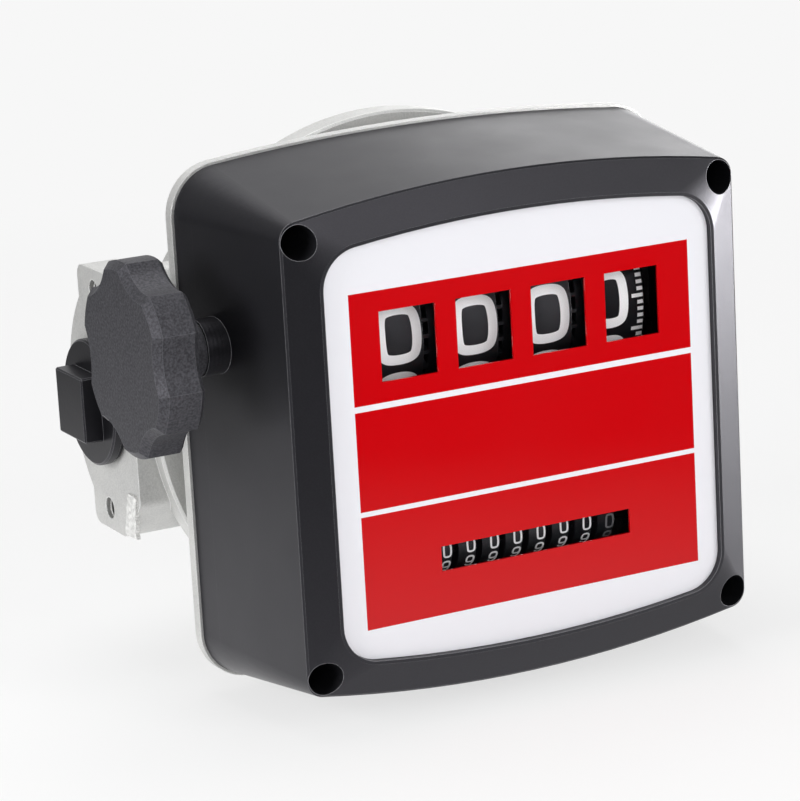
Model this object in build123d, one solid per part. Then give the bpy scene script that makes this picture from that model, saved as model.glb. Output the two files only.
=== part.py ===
from build123d import *
import os
from math import acos, asin, atan2, ceil, cos, degrees, hypot, pi, radians, sin, sqrt, tan

# Mechanical fuel flow meter for a one inch line, in millimetres.
# X runs across the face to the viewer's right, Y runs back from the face and Z is up.
# While it is built, X = 0 is midway between the two ports and the port axis is Y = 0, Z = 0.
# When it is written, X = 0 moves to the mouth of the outlet port, on the right.

# Clearances
RUNNING = 0.08          # radial gap of a shaft in its bearing
SLACK = 0.3             # gap between faces that pass each other
SEAT = 0.1              # gap around a piece laid in a pocket

# Ports and arms of the body casting
PORT_SPAN = 178.0       # from one port mouth to the other
PORT_R = 15.15          # wall of the one inch pipe thread, at its crest
PORT_THREAD = 20.0      # depth of the threaded wall
DUCT_R = 12.5           # duct behind the thread
ARM_FRONT = 25.0        # port axis to the flat front of the arm
ARM_END = 42.0          # port axis to the top or bottom of the arm
ARM_BACK = 12.5         # port axis to the back of the arm above and below the port
FLANGE_BULGE = 25.0     # port axis to the back of the flange beside the port
BULGE_HALF = 31.0       # half the height of that bulge
FLANGE_T = 12.0
PORT_TUBE_R = 20.5
ARM_CHAMFER = 13.0      # front corners of the arm
TAP_R = 3.4             # tapped holes of the flange
TAP_REACH = 35.0        # port axis to a tapped hole
TAP_DEPTH = 14.0

# Register housing
FACE_DEPTH = 110.4      # front edge of the housing to the port axis
HOUSING_DEPTH = 58.0
FRONT_HALF_W, FRONT_PEAK, FRONT_BOW, FRONT_CORNER = 75.6, 76.9, 418.0, 5.5
REAR_HALF_W, REAR_PEAK, REAR_BOW, REAR_CORNER = 82.7, 83.0, 640.0, 15.0
HOUSING_WALL = 3.0
FRAME_RISE = 4.0        # the frame slopes forward this far, from its edge to the opening
SCREW_X, SCREW_Z = 70.25, 65.0
EDGE = 0.6              # moulded edge of the front frame
WELL_R = 5.1            # counterbore over each housing screw
WELL_FLOOR = 7.0        # thickness under the screw head, at the rim plate
PILLAR_R = 7.5

# Face plate and its lens
FACE_HALF_W, FACE_PEAK, FACE_BOW, FACE_CORNER = 64.75, 65.3, 420.0, 12.0
FACE_RECESS = 2.0       # front edge of the opening to the face plate
FACE_T = 0.8
LENS_T = 2.0
LEDGE = 3.0             # width of the ledge that the lens lies on
LEDGE_T = 1.8
WINDOW_W, WINDOW_H = 18.4, 20.9
WINDOW_PITCH = 25.1
WINDOW_Z = 31.2
TOTAL_WINDOW_W, TOTAL_WINDOW_H, TOTAL_WINDOW_Z = 64.6, 7.6, -35.6

# Body casting
RIM_T, RIM_LIP = 4.0, 0.9
POCKET_HALF, POCKET_R = 64.0, 32.0
NECK_WALL = 5.0
DISC_R, DISC_FRONT, DISC_T = 84.0, -30.4, 10.0
POT_R, POT_WALL = 57.8, 5.0
POT_FRONT, POT_BACK = -26.4, 21.0
FLOOR_T = 7.0           # wall between the register and the measuring chamber
REAR_FLANGE_R, REAR_FLANGE_T = 64.5, 9.0
COVER_T = 5.0
COVER_DOME = 7.0
COVER_SCREWS, COVER_SCREW_PCR, COVER_SCREW_R = 8, 59.5, 2.5
SCREW_HEAD_R, SCREW_HEAD_H = 4.6, 3.6
SEAL_R, SEAL_W, SEAL_T = 54.6, 2.4, 2.4

# Measuring chamber and nutating disc, about the port axis
CHAMBER_R = 48.3
CHAMBER_FRONT, CHAMBER_REAR = 24.0, 17.0
DISC_RADIUS, DISC_PLATE_T = 41.5, 3.0
BALL_R = 13.0
TILT = 10.0
CHAMBER_GAP = 0.4
PIN_R, PIN_REACH = 2.5, 23.4
PARTITION_T, PARTITION_ANGLE = 2.0, 25.0
SLOT_GAP = 1.1
CHAMBER_PORT = 15.0     # width of the inlet and outlet openings of the chamber
PORT_TURN = 25.0        # from the partition plate to either opening
PLATE_SEAT = 0.6        # how far the partition plate enters the chamber's slot
OUTLET_SEAL_R = 15.5

# Drive
CRANK_R, CRANK_FRONT, CRANK_BACK = 11.0, -25.6, -20.0
CRANK_RECESS_R, CRANK_RECESS = 12.0, 5.0
SPINDLE_R, SPINDLE_ENTRY, BUSH_R = 3.0, 1.2, 5.0
LAY_SHAFT_R, LAY_SHAFT_ENTRY = 2.0, 3.0

# Gears: teeth and module
SPINDLE_PINION = (8, 1.5)
LAY_GEAR = (40, 1.5)
CROWN_PINION = (8, 1.0)
CROWN_WHEEL = (32, 1.0)
CROWN_FACE = 3.6        # width of the crown wheel's teeth, along its radius
CROSS_PINION = (8, 1.5)
LITRE_IDLER = (15, 1.5)
LITRE_GEAR = (32, 1.5)
CROSS_GEAR = (30, 1.0)
TOTAL_IDLER = (14, 1.0)
TOTAL_GEAR = (12, 1.0)
WHEEL_RING, WHEEL_TRANSFER = (40, 1.5), (8, 1.5)
TOTAL_RING, TOTAL_TRANSFER = (20, 0.75), (8, 0.75)
ADDENDUM, DEDENDUM = 0.85, 1.2
BACKLASH = 0.22         # share of the module taken off each tooth
GEAR_T = 3.5

# Registers
WHEEL_R, WHEEL_W, WHEEL_BORE_R = 32.75, 18.0, 4.0
WHEEL_Y, WHEEL_Z = 39.0 - FACE_DEPTH, 29.5
TOTAL_R, TOTAL_W, TOTAL_PITCH, TOTAL_SHAFT_R = 9.25, 5.8, 8.0, 1.5
TOTAL_X = 1.6           # middle of the totaliser's row of wheels
TOTAL_Y, TOTAL_Z = 14.25 - FACE_DEPTH, TOTAL_WINDOW_Z
TRANSFER_SHAFT_R, TOTAL_TRANSFER_SHAFT_R = 1.5, 1.0
TRANSFER_ANGLE = -50.0  # from the wheel shaft to the transfer shaft, above the horizontal
RING_T = 2.6
CROSS_Y = WHEEL_Y
CROSS_SHAFT_R, STUB_R = 2.5, 2.0
SIDE_PLATE_X, SIDE_PLATE_T = 54.0, 2.0
GEAR_PLANE_X = 48.0     # left face of the gears at the right of the wheels
TOTAL_GEAR_X = 42.0
BRIDGE_Y, BRIDGE_T = 62.0 - FACE_DEPTH, 2.0

# Knob and its boss
KNOB_OUTER_X, KNOB_T, KNOB_R = -110.6, 14.0, 29.3
KNOB_LOBES, KNOB_SCALLOP_R, KNOB_VALLEY_R, KNOB_PHASE = 6, 18.0, 25.9, 36.0
KNOB_HUB_R = 8.3
BOSS_R, BOSS_END_X = 8.6, -86.5
KNOB_EDGE, KNOB_BACK_EDGE = 2.3, 1.6

# Inlet plug
PLUG_FLANGE_R, PLUG_FLANGE_T = 20.0, 3.0
PLUG_HEAD, PLUG_HEAD_H = 20.8, 6.2
PLUG_WASHER_T = 1.5
PLUG_LENGTH = 16.0

# Places worked out from the sizes above
FRAME_Y = -FACE_DEPTH
RIM_Y = FRAME_Y + HOUSING_DEPTH
OPENING_Y = FRAME_Y - FRAME_RISE
FACE_Y = OPENING_Y + FACE_RECESS
LENS_Y = FACE_Y + FACE_T
LEDGE_Y = LENS_Y + LENS_T
FRONT_WALL_Y = LEDGE_Y + LEDGE_T
PORT_X = PORT_SPAN / 2
FLOOR_Y = POT_FRONT - FLOOR_T
WHEEL_XS = [WINDOW_PITCH * (1.5 - place) for place in range(4)]
TOTAL_XS = [TOTAL_X + TOTAL_PITCH * (3.5 - place) for place in range(8)]


def pitch_r(gear):
    return gear[0] * gear[1] / 2


def apart(first, second):
    """Distance between the axes of two meshing gears."""
    return pitch_r(first) + pitch_r(second)


TRANSFER_Y = WHEEL_Y + apart(WHEEL_RING, WHEEL_TRANSFER) * cos(radians(TRANSFER_ANGLE))
TRANSFER_Z = WHEEL_Z + apart(WHEEL_RING, WHEEL_TRANSFER) * sin(radians(TRANSFER_ANGLE))
TOTAL_TRANSFER_Y = TOTAL_Y + apart(TOTAL_RING, TOTAL_TRANSFER)
IDLER_Z = WHEEL_Z - apart(LITRE_GEAR, LITRE_IDLER)
CROSS_Z = IDLER_Z - apart(LITRE_IDLER, CROSS_PINION)
LAY_Z = CROSS_Z
LAY_X = sqrt(apart(SPINDLE_PINION, LAY_GEAR) ** 2 - LAY_Z ** 2)
CROWN_X = LAY_X + pitch_r(CROWN_PINION)
CROWN_PINION_Y = CROSS_Y + pitch_r(CROWN_WHEEL)
LAY_GEAR_Y = FLOOR_Y - 2.0
SPINDLE_END_Y = LAY_GEAR_Y - GEAR_T


def third_corner(start, end, from_start, from_end, side):
    """Point at two distances from two others, on the given side of the line between them."""
    along_y, along_z = end[0] - start[0], end[1] - start[1]
    base = hypot(along_y, along_z)
    foot = (from_start ** 2 - from_end ** 2 + base ** 2) / (2 * base)
    height = side * sqrt(from_start ** 2 - foot ** 2)
    unit_y, unit_z = along_y / base, along_z / base
    return start[0] + foot * unit_y - height * unit_z, start[1] + foot * unit_z + height * unit_y


TOTAL_IDLER_Y, TOTAL_IDLER_Z = third_corner(
    (TOTAL_Y, TOTAL_Z), (CROSS_Y, CROSS_Z),
    apart(TOTAL_GEAR, TOTAL_IDLER), apart(TOTAL_IDLER, CROSS_GEAR), 1)


# Shared shapes

def facing(y, x=0.0, z=0.0):
    """Work plane seen from the front: local x is X, local y is Z, and extrusions come forward."""
    return Plane(origin=(x, y, z), x_dir=(1, 0, 0), z_dir=(0, -1, 0))


def sideways(x, y=0.0, z=0.0):
    """Work plane seen from the right: local x is Y, local y is Z, and extrusions go to the right."""
    return Plane(origin=(x, y, z), x_dir=(0, 1, 0), z_dir=(1, 0, 0))


def rod_x(radius, x_from, x_to, y=0.0, z=0.0):
    return extrude(sideways(x_from, y, z) * Circle(radius), x_to - x_from)


def rod_y(radius, y_from, y_to, x=0.0, z=0.0):
    return extrude(facing(y_to, x, z) * Circle(radius), y_to - y_from)


def turned_y(points):
    """Solid of revolution about the port-height Y axis, from (radius, y) points."""
    return revolve(make_face(Polyline([(r, y, 0) for r, y in points], close=True)), Axis.Y)


def panel(half_w, peak, bow, corner):
    """Upright outline with straight sides and bowed top and bottom edges."""
    side_z = peak - (bow - sqrt(bow ** 2 - half_w ** 2))
    top = ThreePointArc((-half_w, side_z), (0, peak), (half_w, side_z))
    right = Line((half_w, side_z), (half_w, -side_z))
    bottom = ThreePointArc((half_w, -side_z), (0, -peak), (-half_w, -side_z))
    left = Line((-half_w, -side_z), (-half_w, side_z))
    face = make_face([top, right, bottom, left])
    return fillet(face.vertices(), corner)


def front_panel(inset=0.0, corner=None):
    return panel(FRONT_HALF_W - inset, FRONT_PEAK - inset, FRONT_BOW - inset,
                 FRONT_CORNER if corner is None else corner)


def rear_panel(inset=0.0, corner=None):
    return panel(REAR_HALF_W - inset, REAR_PEAK - inset, REAR_BOW - inset,
                 REAR_CORNER if corner is None else corner)


def face_panel(inset=0.0):
    return panel(FACE_HALF_W - inset, FACE_PEAK - inset, FACE_BOW - inset, FACE_CORNER - inset)


def gear_face(gear, phase=0.0):
    """Spur gear outline with straight flanks. `phase` is the angle of its first tooth."""
    teeth, module = gear
    pitch = pitch_r(gear)
    tip, root = pitch + ADDENDUM * module, pitch - DEDENDUM * module
    half = (pi / 4 - BACKLASH / 2) * module / pitch
    half_tip = half * (0.5 if teeth > 16 else 0.55)
    half_root = min(half * (1.35 if teeth > 16 else 1.05), 0.9 * pi / teeth)
    points = []
    for tooth in range(teeth):
        middle = radians(phase + 360 * tooth / teeth)
        for radius, angle in ((root, -half_root), (tip, -half_tip), (tip, half_tip), (root, half_root)):
            points.append((radius * cos(middle + angle), radius * sin(middle + angle)))
    return make_face(Polyline(points, close=True))


def mesh_phase(driver, driver_phase, driven, direction):
    """Phase that puts a gap of the driven gear over a tooth of the driver.

    `direction` is the angle from the driver's axis to the driven gear's axis."""
    lead = driver[0] * (direction - driver_phase)
    return direction + 180 - (180 - lead) / driven[0]


# Phases of the gears at rest, from the spindle outwards
LAY_DIRECTION = degrees(atan2(LAY_Z, LAY_X))
LAY_PHASE = mesh_phase(SPINDLE_PINION, 0.0, LAY_GEAR, LAY_DIRECTION)
CROWN_PHASE = 180 / CROWN_WHEEL[0]
IDLER_PHASE = mesh_phase(CROSS_PINION, 0.0, LITRE_IDLER, 90.0)
LITRE_PHASE = mesh_phase(LITRE_IDLER, IDLER_PHASE, LITRE_GEAR, 90.0)
TOTAL_IDLER_DIRECTION = degrees(atan2(TOTAL_IDLER_Z - CROSS_Z, TOTAL_IDLER_Y - CROSS_Y))
TOTAL_IDLER_PHASE = mesh_phase(CROSS_GEAR, 0.0, TOTAL_IDLER, TOTAL_IDLER_DIRECTION)
TOTAL_DIRECTION = degrees(atan2(TOTAL_Z - TOTAL_IDLER_Z, TOTAL_Y - TOTAL_IDLER_Y))
TOTAL_GEAR_PHASE = mesh_phase(TOTAL_IDLER, TOTAL_IDLER_PHASE, TOTAL_GEAR, TOTAL_DIRECTION)
TRANSFER_PHASE = mesh_phase(WHEEL_RING, 0.0, WHEEL_TRANSFER, TRANSFER_ANGLE)
TOTAL_TRANSFER_PHASE = mesh_phase(TOTAL_RING, 0.0, TOTAL_TRANSFER, 0.0)


# Body casting

def flange_face(back):
    """One arm's section: with the bulged back of the flange, or with the slimmer back of the arm."""
    end_y = -ARM_FRONT + ARM_CHAMFER
    front_z = ARM_END - ARM_CHAMFER
    points = [(back, -ARM_END), (end_y, -ARM_END), (-ARM_FRONT, -front_z),
              (-ARM_FRONT, front_z), (end_y, ARM_END), (back, ARM_END)]
    face = make_face(Polyline(points, close=True))
    face = fillet(face.vertices().filter_by(lambda v: v.X < end_y + 0.01), 5.0)
    return fillet(face.vertices().filter_by(lambda v: v.X > back - 0.01), 4.0)


def arm(side):
    """One port arm: flange, web and the tube round the duct. `side` is 1 for right, -1 for left."""
    outer = side * PORT_X
    inner = side * (PORT_X - FLANGE_T)
    flange = extrude(sideways(min(outer, inner)) * flange_face(ARM_BACK), FLANGE_T)
    rise = FLANGE_BULGE - ARM_BACK
    bulge_r = (BULGE_HALF ** 2 + rise ** 2) / (2 * rise)
    bulge = rod_x(bulge_r, min(outer, inner), max(outer, inner), FLANGE_BULGE - bulge_r)
    keep = Pos((outer + inner) / 2, FLANGE_BULGE / 2 + 5, 0) * Box(FLANGE_T, FLANGE_BULGE + 5, 2 * BULGE_HALF)
    web = extrude(sideways(min(inner, side * 40)) * flange_face(-2.0), abs(inner - side * 40))
    tube = rod_x(PORT_TUBE_R, min(inner, side * 40), max(inner, side * 40))
    return flange + (bulge & keep) + web + tube


def body_casting():
    rim = extrude(facing(RIM_Y + RIM_T) * rear_panel(-RIM_LIP, REAR_CORNER + RIM_LIP), RIM_T)
    neck_half = POCKET_HALF + NECK_WALL
    neck_face = RectangleRounded(2 * neck_half, 2 * neck_half, POCKET_R + NECK_WALL)
    neck = extrude(facing(DISC_FRONT + 1) * neck_face, DISC_FRONT + 1 - RIM_Y - RIM_T)
    disc = rod_y(DISC_R, DISC_FRONT, DISC_FRONT + DISC_T)
    disc = chamfer(disc.edges().filter_by(GeomType.CIRCLE), 0.8)
    pot = rod_y(POT_R, DISC_FRONT + DISC_T - 1, POT_BACK)
    rear = rod_y(REAR_FLANGE_R, POT_BACK - REAR_FLANGE_T, POT_BACK)
    bosses = Part()
    for x in (-SCREW_X, SCREW_X):
        for z in (-SCREW_Z, SCREW_Z):
            bosses += rod_y(PILLAR_R, RIM_Y, RIM_Y + RIM_T + 8, x, z)
    body = rim + neck + disc + pot + rear + bosses + arm(-1) + arm(1)

    pocket = extrude(facing(FLOOR_Y) * RectangleRounded(2 * POCKET_HALF, 2 * POCKET_HALF, POCKET_R),
                     FLOOR_Y - RIM_Y + 1)
    body -= pocket
    body -= rod_y(POT_R - POT_WALL, POT_FRONT, POT_BACK + 1)
    body += rod_y(CHAMBER_R - 1, POT_FRONT - 1, -CHAMBER_FRONT) - rod_y(CHAMBER_R - 9, POT_FRONT - 2, 0)
    body -= rod_y(BUSH_R, FLOOR_Y - 1, POT_FRONT + 1)
    body -= rod_y(LAY_SHAFT_R + RUNNING, FLOOR_Y - 1, FLOOR_Y + LAY_SHAFT_ENTRY + SLACK, LAY_X, LAY_Z)
    for side in (-1, 1):
        mouth = side * PORT_X
        thread_end = side * (PORT_X - PORT_THREAD)
        inside = side * (POT_R - POT_WALL - 6)
        body -= rod_x(PORT_R, min(mouth, thread_end), max(mouth, thread_end))
        body -= rod_x(DUCT_R, min(inside, thread_end), max(inside, thread_end))
        tap_end = side * (PORT_X - TAP_DEPTH)
        for z in (-TAP_REACH, TAP_REACH):
            body -= rod_x(TAP_R, min(mouth, tap_end), max(mouth, tap_end), 0, z)
    for x in (-SCREW_X, SCREW_X):
        for z in (-SCREW_Z, SCREW_Z):
            body -= rod_y(COVER_SCREW_R + RUNNING, RIM_Y - 1, RIM_Y + RIM_T + 9, x, z)
    for x, z in cover_screw_places():
        body -= rod_y(COVER_SCREW_R + RUNNING, POT_BACK - REAR_FLANGE_T + 1, POT_BACK + 1, x, z)
    body -= seal_groove()
    return body


def cover_screw_places():
    turns = [radians(360 / COVER_SCREWS * (n + 0.5)) for n in range(COVER_SCREWS)]
    return [(COVER_SCREW_PCR * cos(turn), COVER_SCREW_PCR * sin(turn)) for turn in turns]


def seal_groove():
    depth = SEAL_T - 0.4
    ring = rod_y(SEAL_R + SEAL_W / 2, POT_BACK - depth, POT_BACK + 1)
    return ring - rod_y(SEAL_R - SEAL_W / 2, POT_BACK - depth - 1, POT_BACK + 2)


def chamber_cover():
    """Rear cover: flat flange, shallow dome with ribs, and a ring that holds the chamber."""
    back = POT_BACK + COVER_T
    plate = rod_y(REAR_FLANGE_R, POT_BACK, back)
    dome_r = CHAMBER_R - 1.5
    dome = extrude(Plane(origin=(0, back, 0), x_dir=(1, 0, 0), z_dir=(0, 1, 0)) * Circle(dome_r),
                   COVER_DOME, taper=30)
    dome = fillet(dome.faces().sort_by(Axis.Y)[-1].edges(), 3.0)
    cover = plate + dome
    hollow = extrude(Plane(origin=(0, POT_BACK, 0), x_dir=(1, 0, 0), z_dir=(0, 1, 0)) * Circle(dome_r - 6),
                     COVER_DOME, taper=20)
    cover -= hollow
    ring = rod_y(CHAMBER_R - 1, CHAMBER_REAR, POT_BACK + 0.5) - rod_y(dome_r - 7, 0, POT_BACK + 1)
    cover += ring
    for x, z in cover_screw_places():
        cover -= rod_y(COVER_SCREW_R + 0.3, POT_BACK - 1, back + 1, x, z)
    return cover


def cover_seal():
    ring = rod_y(SEAL_R + SEAL_W / 2 - SEAT, POT_BACK - SEAL_T + 0.4, POT_BACK)
    return ring - rod_y(SEAL_R - SEAL_W / 2 + SEAT, POT_BACK - SEAL_T, POT_BACK + 1)


def cover_screws():
    """Hexagon-head screws of the chamber cover, as separate solids."""
    back = POT_BACK + COVER_T
    screws = []
    for x, z in cover_screw_places():
        head = extrude(facing(back + SCREW_HEAD_H, x, z) * RegularPolygon(SCREW_HEAD_R, 6), SCREW_HEAD_H)
        screws.append(head + rod_y(COVER_SCREW_R, POT_BACK - REAR_FLANGE_T + 2, back, x, z))
    return Compound(screws)


# Measuring chamber

def cone_height(radius):
    """Height of the chamber's cone over the middle plane, where the tilted disc rolls on it."""
    return radius * tan(radians(TILT)) + DISC_PLATE_T / 2 / cos(radians(TILT)) + CHAMBER_GAP


def chamber_space():
    """The hollow that the disc nutates in: a ball-ended zone between two shallow cones."""
    near, far = cone_height(0), cone_height(CHAMBER_R)
    between = turned_y([(0, -near), (CHAMBER_R, -far), (CHAMBER_R, far), (0, near)])
    zone = Sphere(DISC_RADIUS + 0.5) & between
    return zone + Sphere(BALL_R + CHAMBER_GAP)


def chamber_half(front):
    """One half of the chamber: front, with the crank's recess and the pin's mouth, or rear."""
    half = rod_y(CHAMBER_R, -CHAMBER_FRONT, 0) if front else rod_y(CHAMBER_R, 0, CHAMBER_REAR)
    half -= chamber_space()
    half -= partition_plate(SEAT)
    for turn in (PARTITION_ANGLE - PORT_TURN, PARTITION_ANGLE + PORT_TURN):
        half -= Rot(0, -turn, 0) * Pos(CHAMBER_R - 7, 0, 0) * Box(24, CHAMBER_PORT, CHAMBER_PORT)
    if front:
        half -= rod_y(CRANK_RECESS_R, -CHAMBER_FRONT - 1, -CHAMBER_FRONT + CRANK_RECESS)
        near, far = BALL_R - 5, CHAMBER_FRONT
        half -= turned_y([(0, -near), (pin_sweep(near), -near), (pin_sweep(far), -far), (0, -far)])
    return half


def pin_sweep(depth):
    """Radius that the leaning pin sweeps at this distance from the ball's centre."""
    return depth * tan(radians(TILT)) + PIN_R / cos(radians(TILT)) + CHAMBER_GAP


def partition_plate(room=0.0):
    """Fixed plate between the chamber's inlet and outlet, which the disc's slot straddles."""
    inner, outer = BALL_R + CHAMBER_GAP + 1.0 - room, DISC_RADIUS + 0.5 + PLATE_SEAT + room
    height = cone_height(DISC_RADIUS) + PLATE_SEAT + room
    plate = Pos((inner + outer) / 2, 0, 0) * Box(outer - inner, 2 * height, PARTITION_T + 2 * room)
    return Rot(0, -PARTITION_ANGLE, 0) * plate


def tilted(solid):
    """Lean a solid from the Y axis to the disc's own axis, which the crank carries round."""
    return Rot(0, 0, TILT) * solid


def nutating_disc():
    plate = rod_y(DISC_RADIUS, -DISC_PLATE_T / 2, DISC_PLATE_T / 2) & Sphere(DISC_RADIUS)
    disc = plate + Sphere(BALL_R) + rod_y(PIN_R, -PIN_REACH, 0)
    slot = Pos(DISC_RADIUS / 2, 0, 0) * Box(1.2 * DISC_RADIUS, DISC_RADIUS, PARTITION_T + 2 * SLOT_GAP)
    slot = Rot(0, -PARTITION_ANGLE, 0) * slot - Sphere(BALL_R)
    return tilted(disc) - slot


def outlet_seal():
    """Saddle-shaped rubber ring between the chamber's outlet and the casting's outlet duct."""
    ring = rod_x(OUTLET_SEAL_R, 40, 70) - rod_x(DUCT_R, 30, 80)
    span = rod_y(POT_R - POT_WALL - SEAT, -40, 40) - rod_y(CHAMBER_R + SEAT, -50, 50)
    return ring & span


# Drive

def drive_crank():
    """Crank on the spindle's end, with an inclined bore that carries the disc's pin."""
    crank = rod_y(CRANK_R, CRANK_FRONT, CRANK_BACK)
    crank -= tilted(rod_y(PIN_R + RUNNING, -PIN_REACH - SLACK, 0))
    return crank - rod_y(SPINDLE_R, CRANK_FRONT - 1, CRANK_FRONT + SPINDLE_ENTRY)


def drive_spindle():
    shaft = rod_y(SPINDLE_R, SPINDLE_END_Y, CRANK_FRONT + SPINDLE_ENTRY)
    pinion = extrude(facing(LAY_GEAR_Y) * gear_face(SPINDLE_PINION), GEAR_T)
    return shaft + pinion


def spindle_bush():
    sleeve = rod_y(BUSH_R, FLOOR_Y, POT_FRONT)
    collar = rod_y(BUSH_R + 2.5, FLOOR_Y - 1.2, FLOOR_Y)
    return sleeve + collar - rod_y(SPINDLE_R + RUNNING, FLOOR_Y - 3, POT_FRONT + 2)


def lay_gear():
    """First reduction gear on its lay shaft, with the small pinion that turns the crown wheel."""
    gear = extrude(facing(LAY_GEAR_Y, LAY_X, LAY_Z) * gear_face(LAY_GEAR, LAY_PHASE), GEAR_T)
    windows = Part()
    for n in range(3):
        angle = radians(120 * n)
        windows += rod_y(9.0, LAY_GEAR_Y - GEAR_T - 1, LAY_GEAR_Y + 1,
                         LAY_X + 16 * cos(angle), LAY_Z + 16 * sin(angle))
    pinion_front = CROWN_PINION_Y - 2.2
    shaft = rod_y(LAY_SHAFT_R, pinion_front, FLOOR_Y + LAY_SHAFT_ENTRY, LAY_X, LAY_Z)
    pinion = extrude(facing(CROWN_PINION_Y + 2.2, LAY_X, LAY_Z) * gear_face(CROWN_PINION), 4.4)
    return gear - windows + shaft + pinion


def crown_wheel():
    """Face gear on the cross shaft; its teeth point left, at the lay shaft's pinion."""
    teeth, module = CROWN_WHEEL
    mean = pitch_r(CROWN_WHEEL)
    face_x = CROWN_X + DEDENDUM * module
    disc = rod_x(mean + CROWN_FACE / 2, face_x, face_x + 2.5, CROSS_Y, CROSS_Z)
    disc -= rod_x(CROSS_SHAFT_R, face_x - 1, face_x + 4, CROSS_Y, CROSS_Z)
    half = (pi / 4 - BACKLASH / 2) * module
    tip_x = CROWN_X - ADDENDUM * module
    profile = make_face(Polyline([(face_x + 0.5, -half * 1.3), (tip_x, -half * 0.5),
                                  (tip_x, half * 0.5), (face_x + 0.5, half * 1.3)], close=True))
    tooth = Pos(0, mean + CROWN_FACE / 2, 0) * extrude(Rot(90, 0, 0) * profile, CROWN_FACE)
    wheel = disc
    teeth_solids = []
    for n in range(teeth):
        angle = CROWN_PHASE + 360 * n / teeth
        teeth_solids.append(Pos(0, CROSS_Y, CROSS_Z) * Rot(angle, 0, 0) * tooth)
    return wheel + teeth_solids


def cross_shaft():
    """Cross shaft with the pinion to the litre wheel and the gear to the totaliser."""
    shaft = rod_x(CROSS_SHAFT_R, CROWN_X + 1.0, SIDE_PLATE_X + SIDE_PLATE_T + 1, CROSS_Y, CROSS_Z)
    pinion = extrude(sideways(GEAR_PLANE_X, CROSS_Y, CROSS_Z) * gear_face(CROSS_PINION), GEAR_T)
    gear = extrude(sideways(TOTAL_GEAR_X, CROSS_Y, CROSS_Z) * gear_face(CROSS_GEAR), GEAR_T)
    return shaft + pinion + gear


def idler(gear, phase, x, y, z):
    wheel = extrude(sideways(x, y, z) * gear_face(gear, phase), GEAR_T)
    return wheel - rod_x(STUB_R + RUNNING, x - 1, x + GEAR_T + 1, y, z)


def idler_stubs():
    """Stub shafts of the two idlers, riveted in the right side plate."""
    stubs = []
    for x, y, z in ((GEAR_PLANE_X, CROSS_Y, IDLER_Z), (TOTAL_GEAR_X, TOTAL_IDLER_Y, TOTAL_IDLER_Z)):
        pin = rod_x(STUB_R, x - SLACK, SIDE_PLATE_X, y, z)
        stubs.append(pin + rod_x(1.5 * STUB_R, x - SLACK - 0.7, x - SLACK, y, z))
    return Compound(stubs)


def bridge_posts():
    """Posts that stand the gear bridge off the floor of the casting."""
    posts = []
    for x, z in bridge_post_places():
        posts.append(rod_y(3.0, BRIDGE_Y + BRIDGE_T, FLOOR_Y, x, z))
    return Compound(posts)


def bridge_post_places():
    return [(LAY_X - 42, LAY_Z - 1), (LAY_X - 20, LAY_Z - 30.5), (LAY_X + 17.5, LAY_Z - 30.3)]


def gear_bridge():
    """Plate on three posts that carries the front end of the lay shaft."""
    places = bridge_post_places()
    corners = places + [(LAY_X, LAY_Z)]
    blank = make_hull([edge for x, z in corners for edge in (Pos(x, z) * Circle(5.5)).edges()])
    plate = extrude(facing(BRIDGE_Y + BRIDGE_T) * blank, BRIDGE_T)
    plate -= rod_y(LAY_SHAFT_R + RUNNING, BRIDGE_Y - 1, BRIDGE_Y + BRIDGE_T + 1, LAY_X, LAY_Z)
    for x, z in places:
        plate += rod_y(4.4, BRIDGE_Y - 1.6, BRIDGE_Y, x, z)
    return plate


# Registers

def number_wheel(place):
    """Large number wheel: solid rim, pocketed sides, ring gear on the right, carry ring on the left."""
    x = WHEEL_XS[place]
    right, left = x + WHEEL_W / 2, x - WHEEL_W / 2
    hub_r, ring_r = 8.0, 22.0
    wheel = rod_x(WHEEL_R, left, right, WHEEL_Y, WHEEL_Z)
    web = left + WHEEL_W - 4.0
    wheel -= rod_x(ring_r, left - 1, web, WHEEL_Y, WHEEL_Z) - rod_x(hub_r, left - 2, web, WHEEL_Y, WHEEL_Z)
    if place < len(WHEEL_XS) - 1:
        carry = sideways(left - RING_T, WHEEL_Y, WHEEL_Z) * carry_face(WHEEL_RING, 4, TRANSFER_ANGLE + 180)
        wheel += extrude(carry - sideways(left - RING_T, WHEEL_Y, WHEEL_Z) * Circle(ring_r), RING_T)
    if place > 0:
        ring = gear_face(WHEEL_RING) - Circle(ring_r)
        wheel += extrude(sideways(right, WHEEL_Y, WHEEL_Z) * ring, RING_T)
    else:
        gear = sideways(right, WHEEL_Y, WHEEL_Z) * gear_face(LITRE_GEAR, LITRE_PHASE)
        wheel += extrude(gear, GEAR_PLANE_X + GEAR_T - right)
    return wheel - rod_x(WHEEL_BORE_R + RUNNING, left - 5, right + 9, WHEEL_Y, WHEEL_Z)


def carry_face(gear, count, direction):
    """Locking ring with a few carry teeth, centred on the given direction."""
    teeth, module = gear
    phase = direction - 180 / teeth * (count - 1)
    pitch = pitch_r(gear)
    half = (pi / 4 - BACKLASH / 2) * module / pitch
    lock, tip = pitch - 1.7 * module, pitch
    face = Circle(lock)
    for tooth in range(count):
        middle = radians(phase + 360 * tooth / teeth)
        corners = [((lock - 1) * cos(middle - half), (lock - 1) * sin(middle - half)),
                   (tip * cos(middle - half / 2), tip * sin(middle - half / 2)),
                   (tip * cos(middle + half / 2), tip * sin(middle + half / 2)),
                   ((lock - 1) * cos(middle + half), (lock - 1) * sin(middle + half))]
        face += make_face(Polyline(corners, close=True))
    return face


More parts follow.
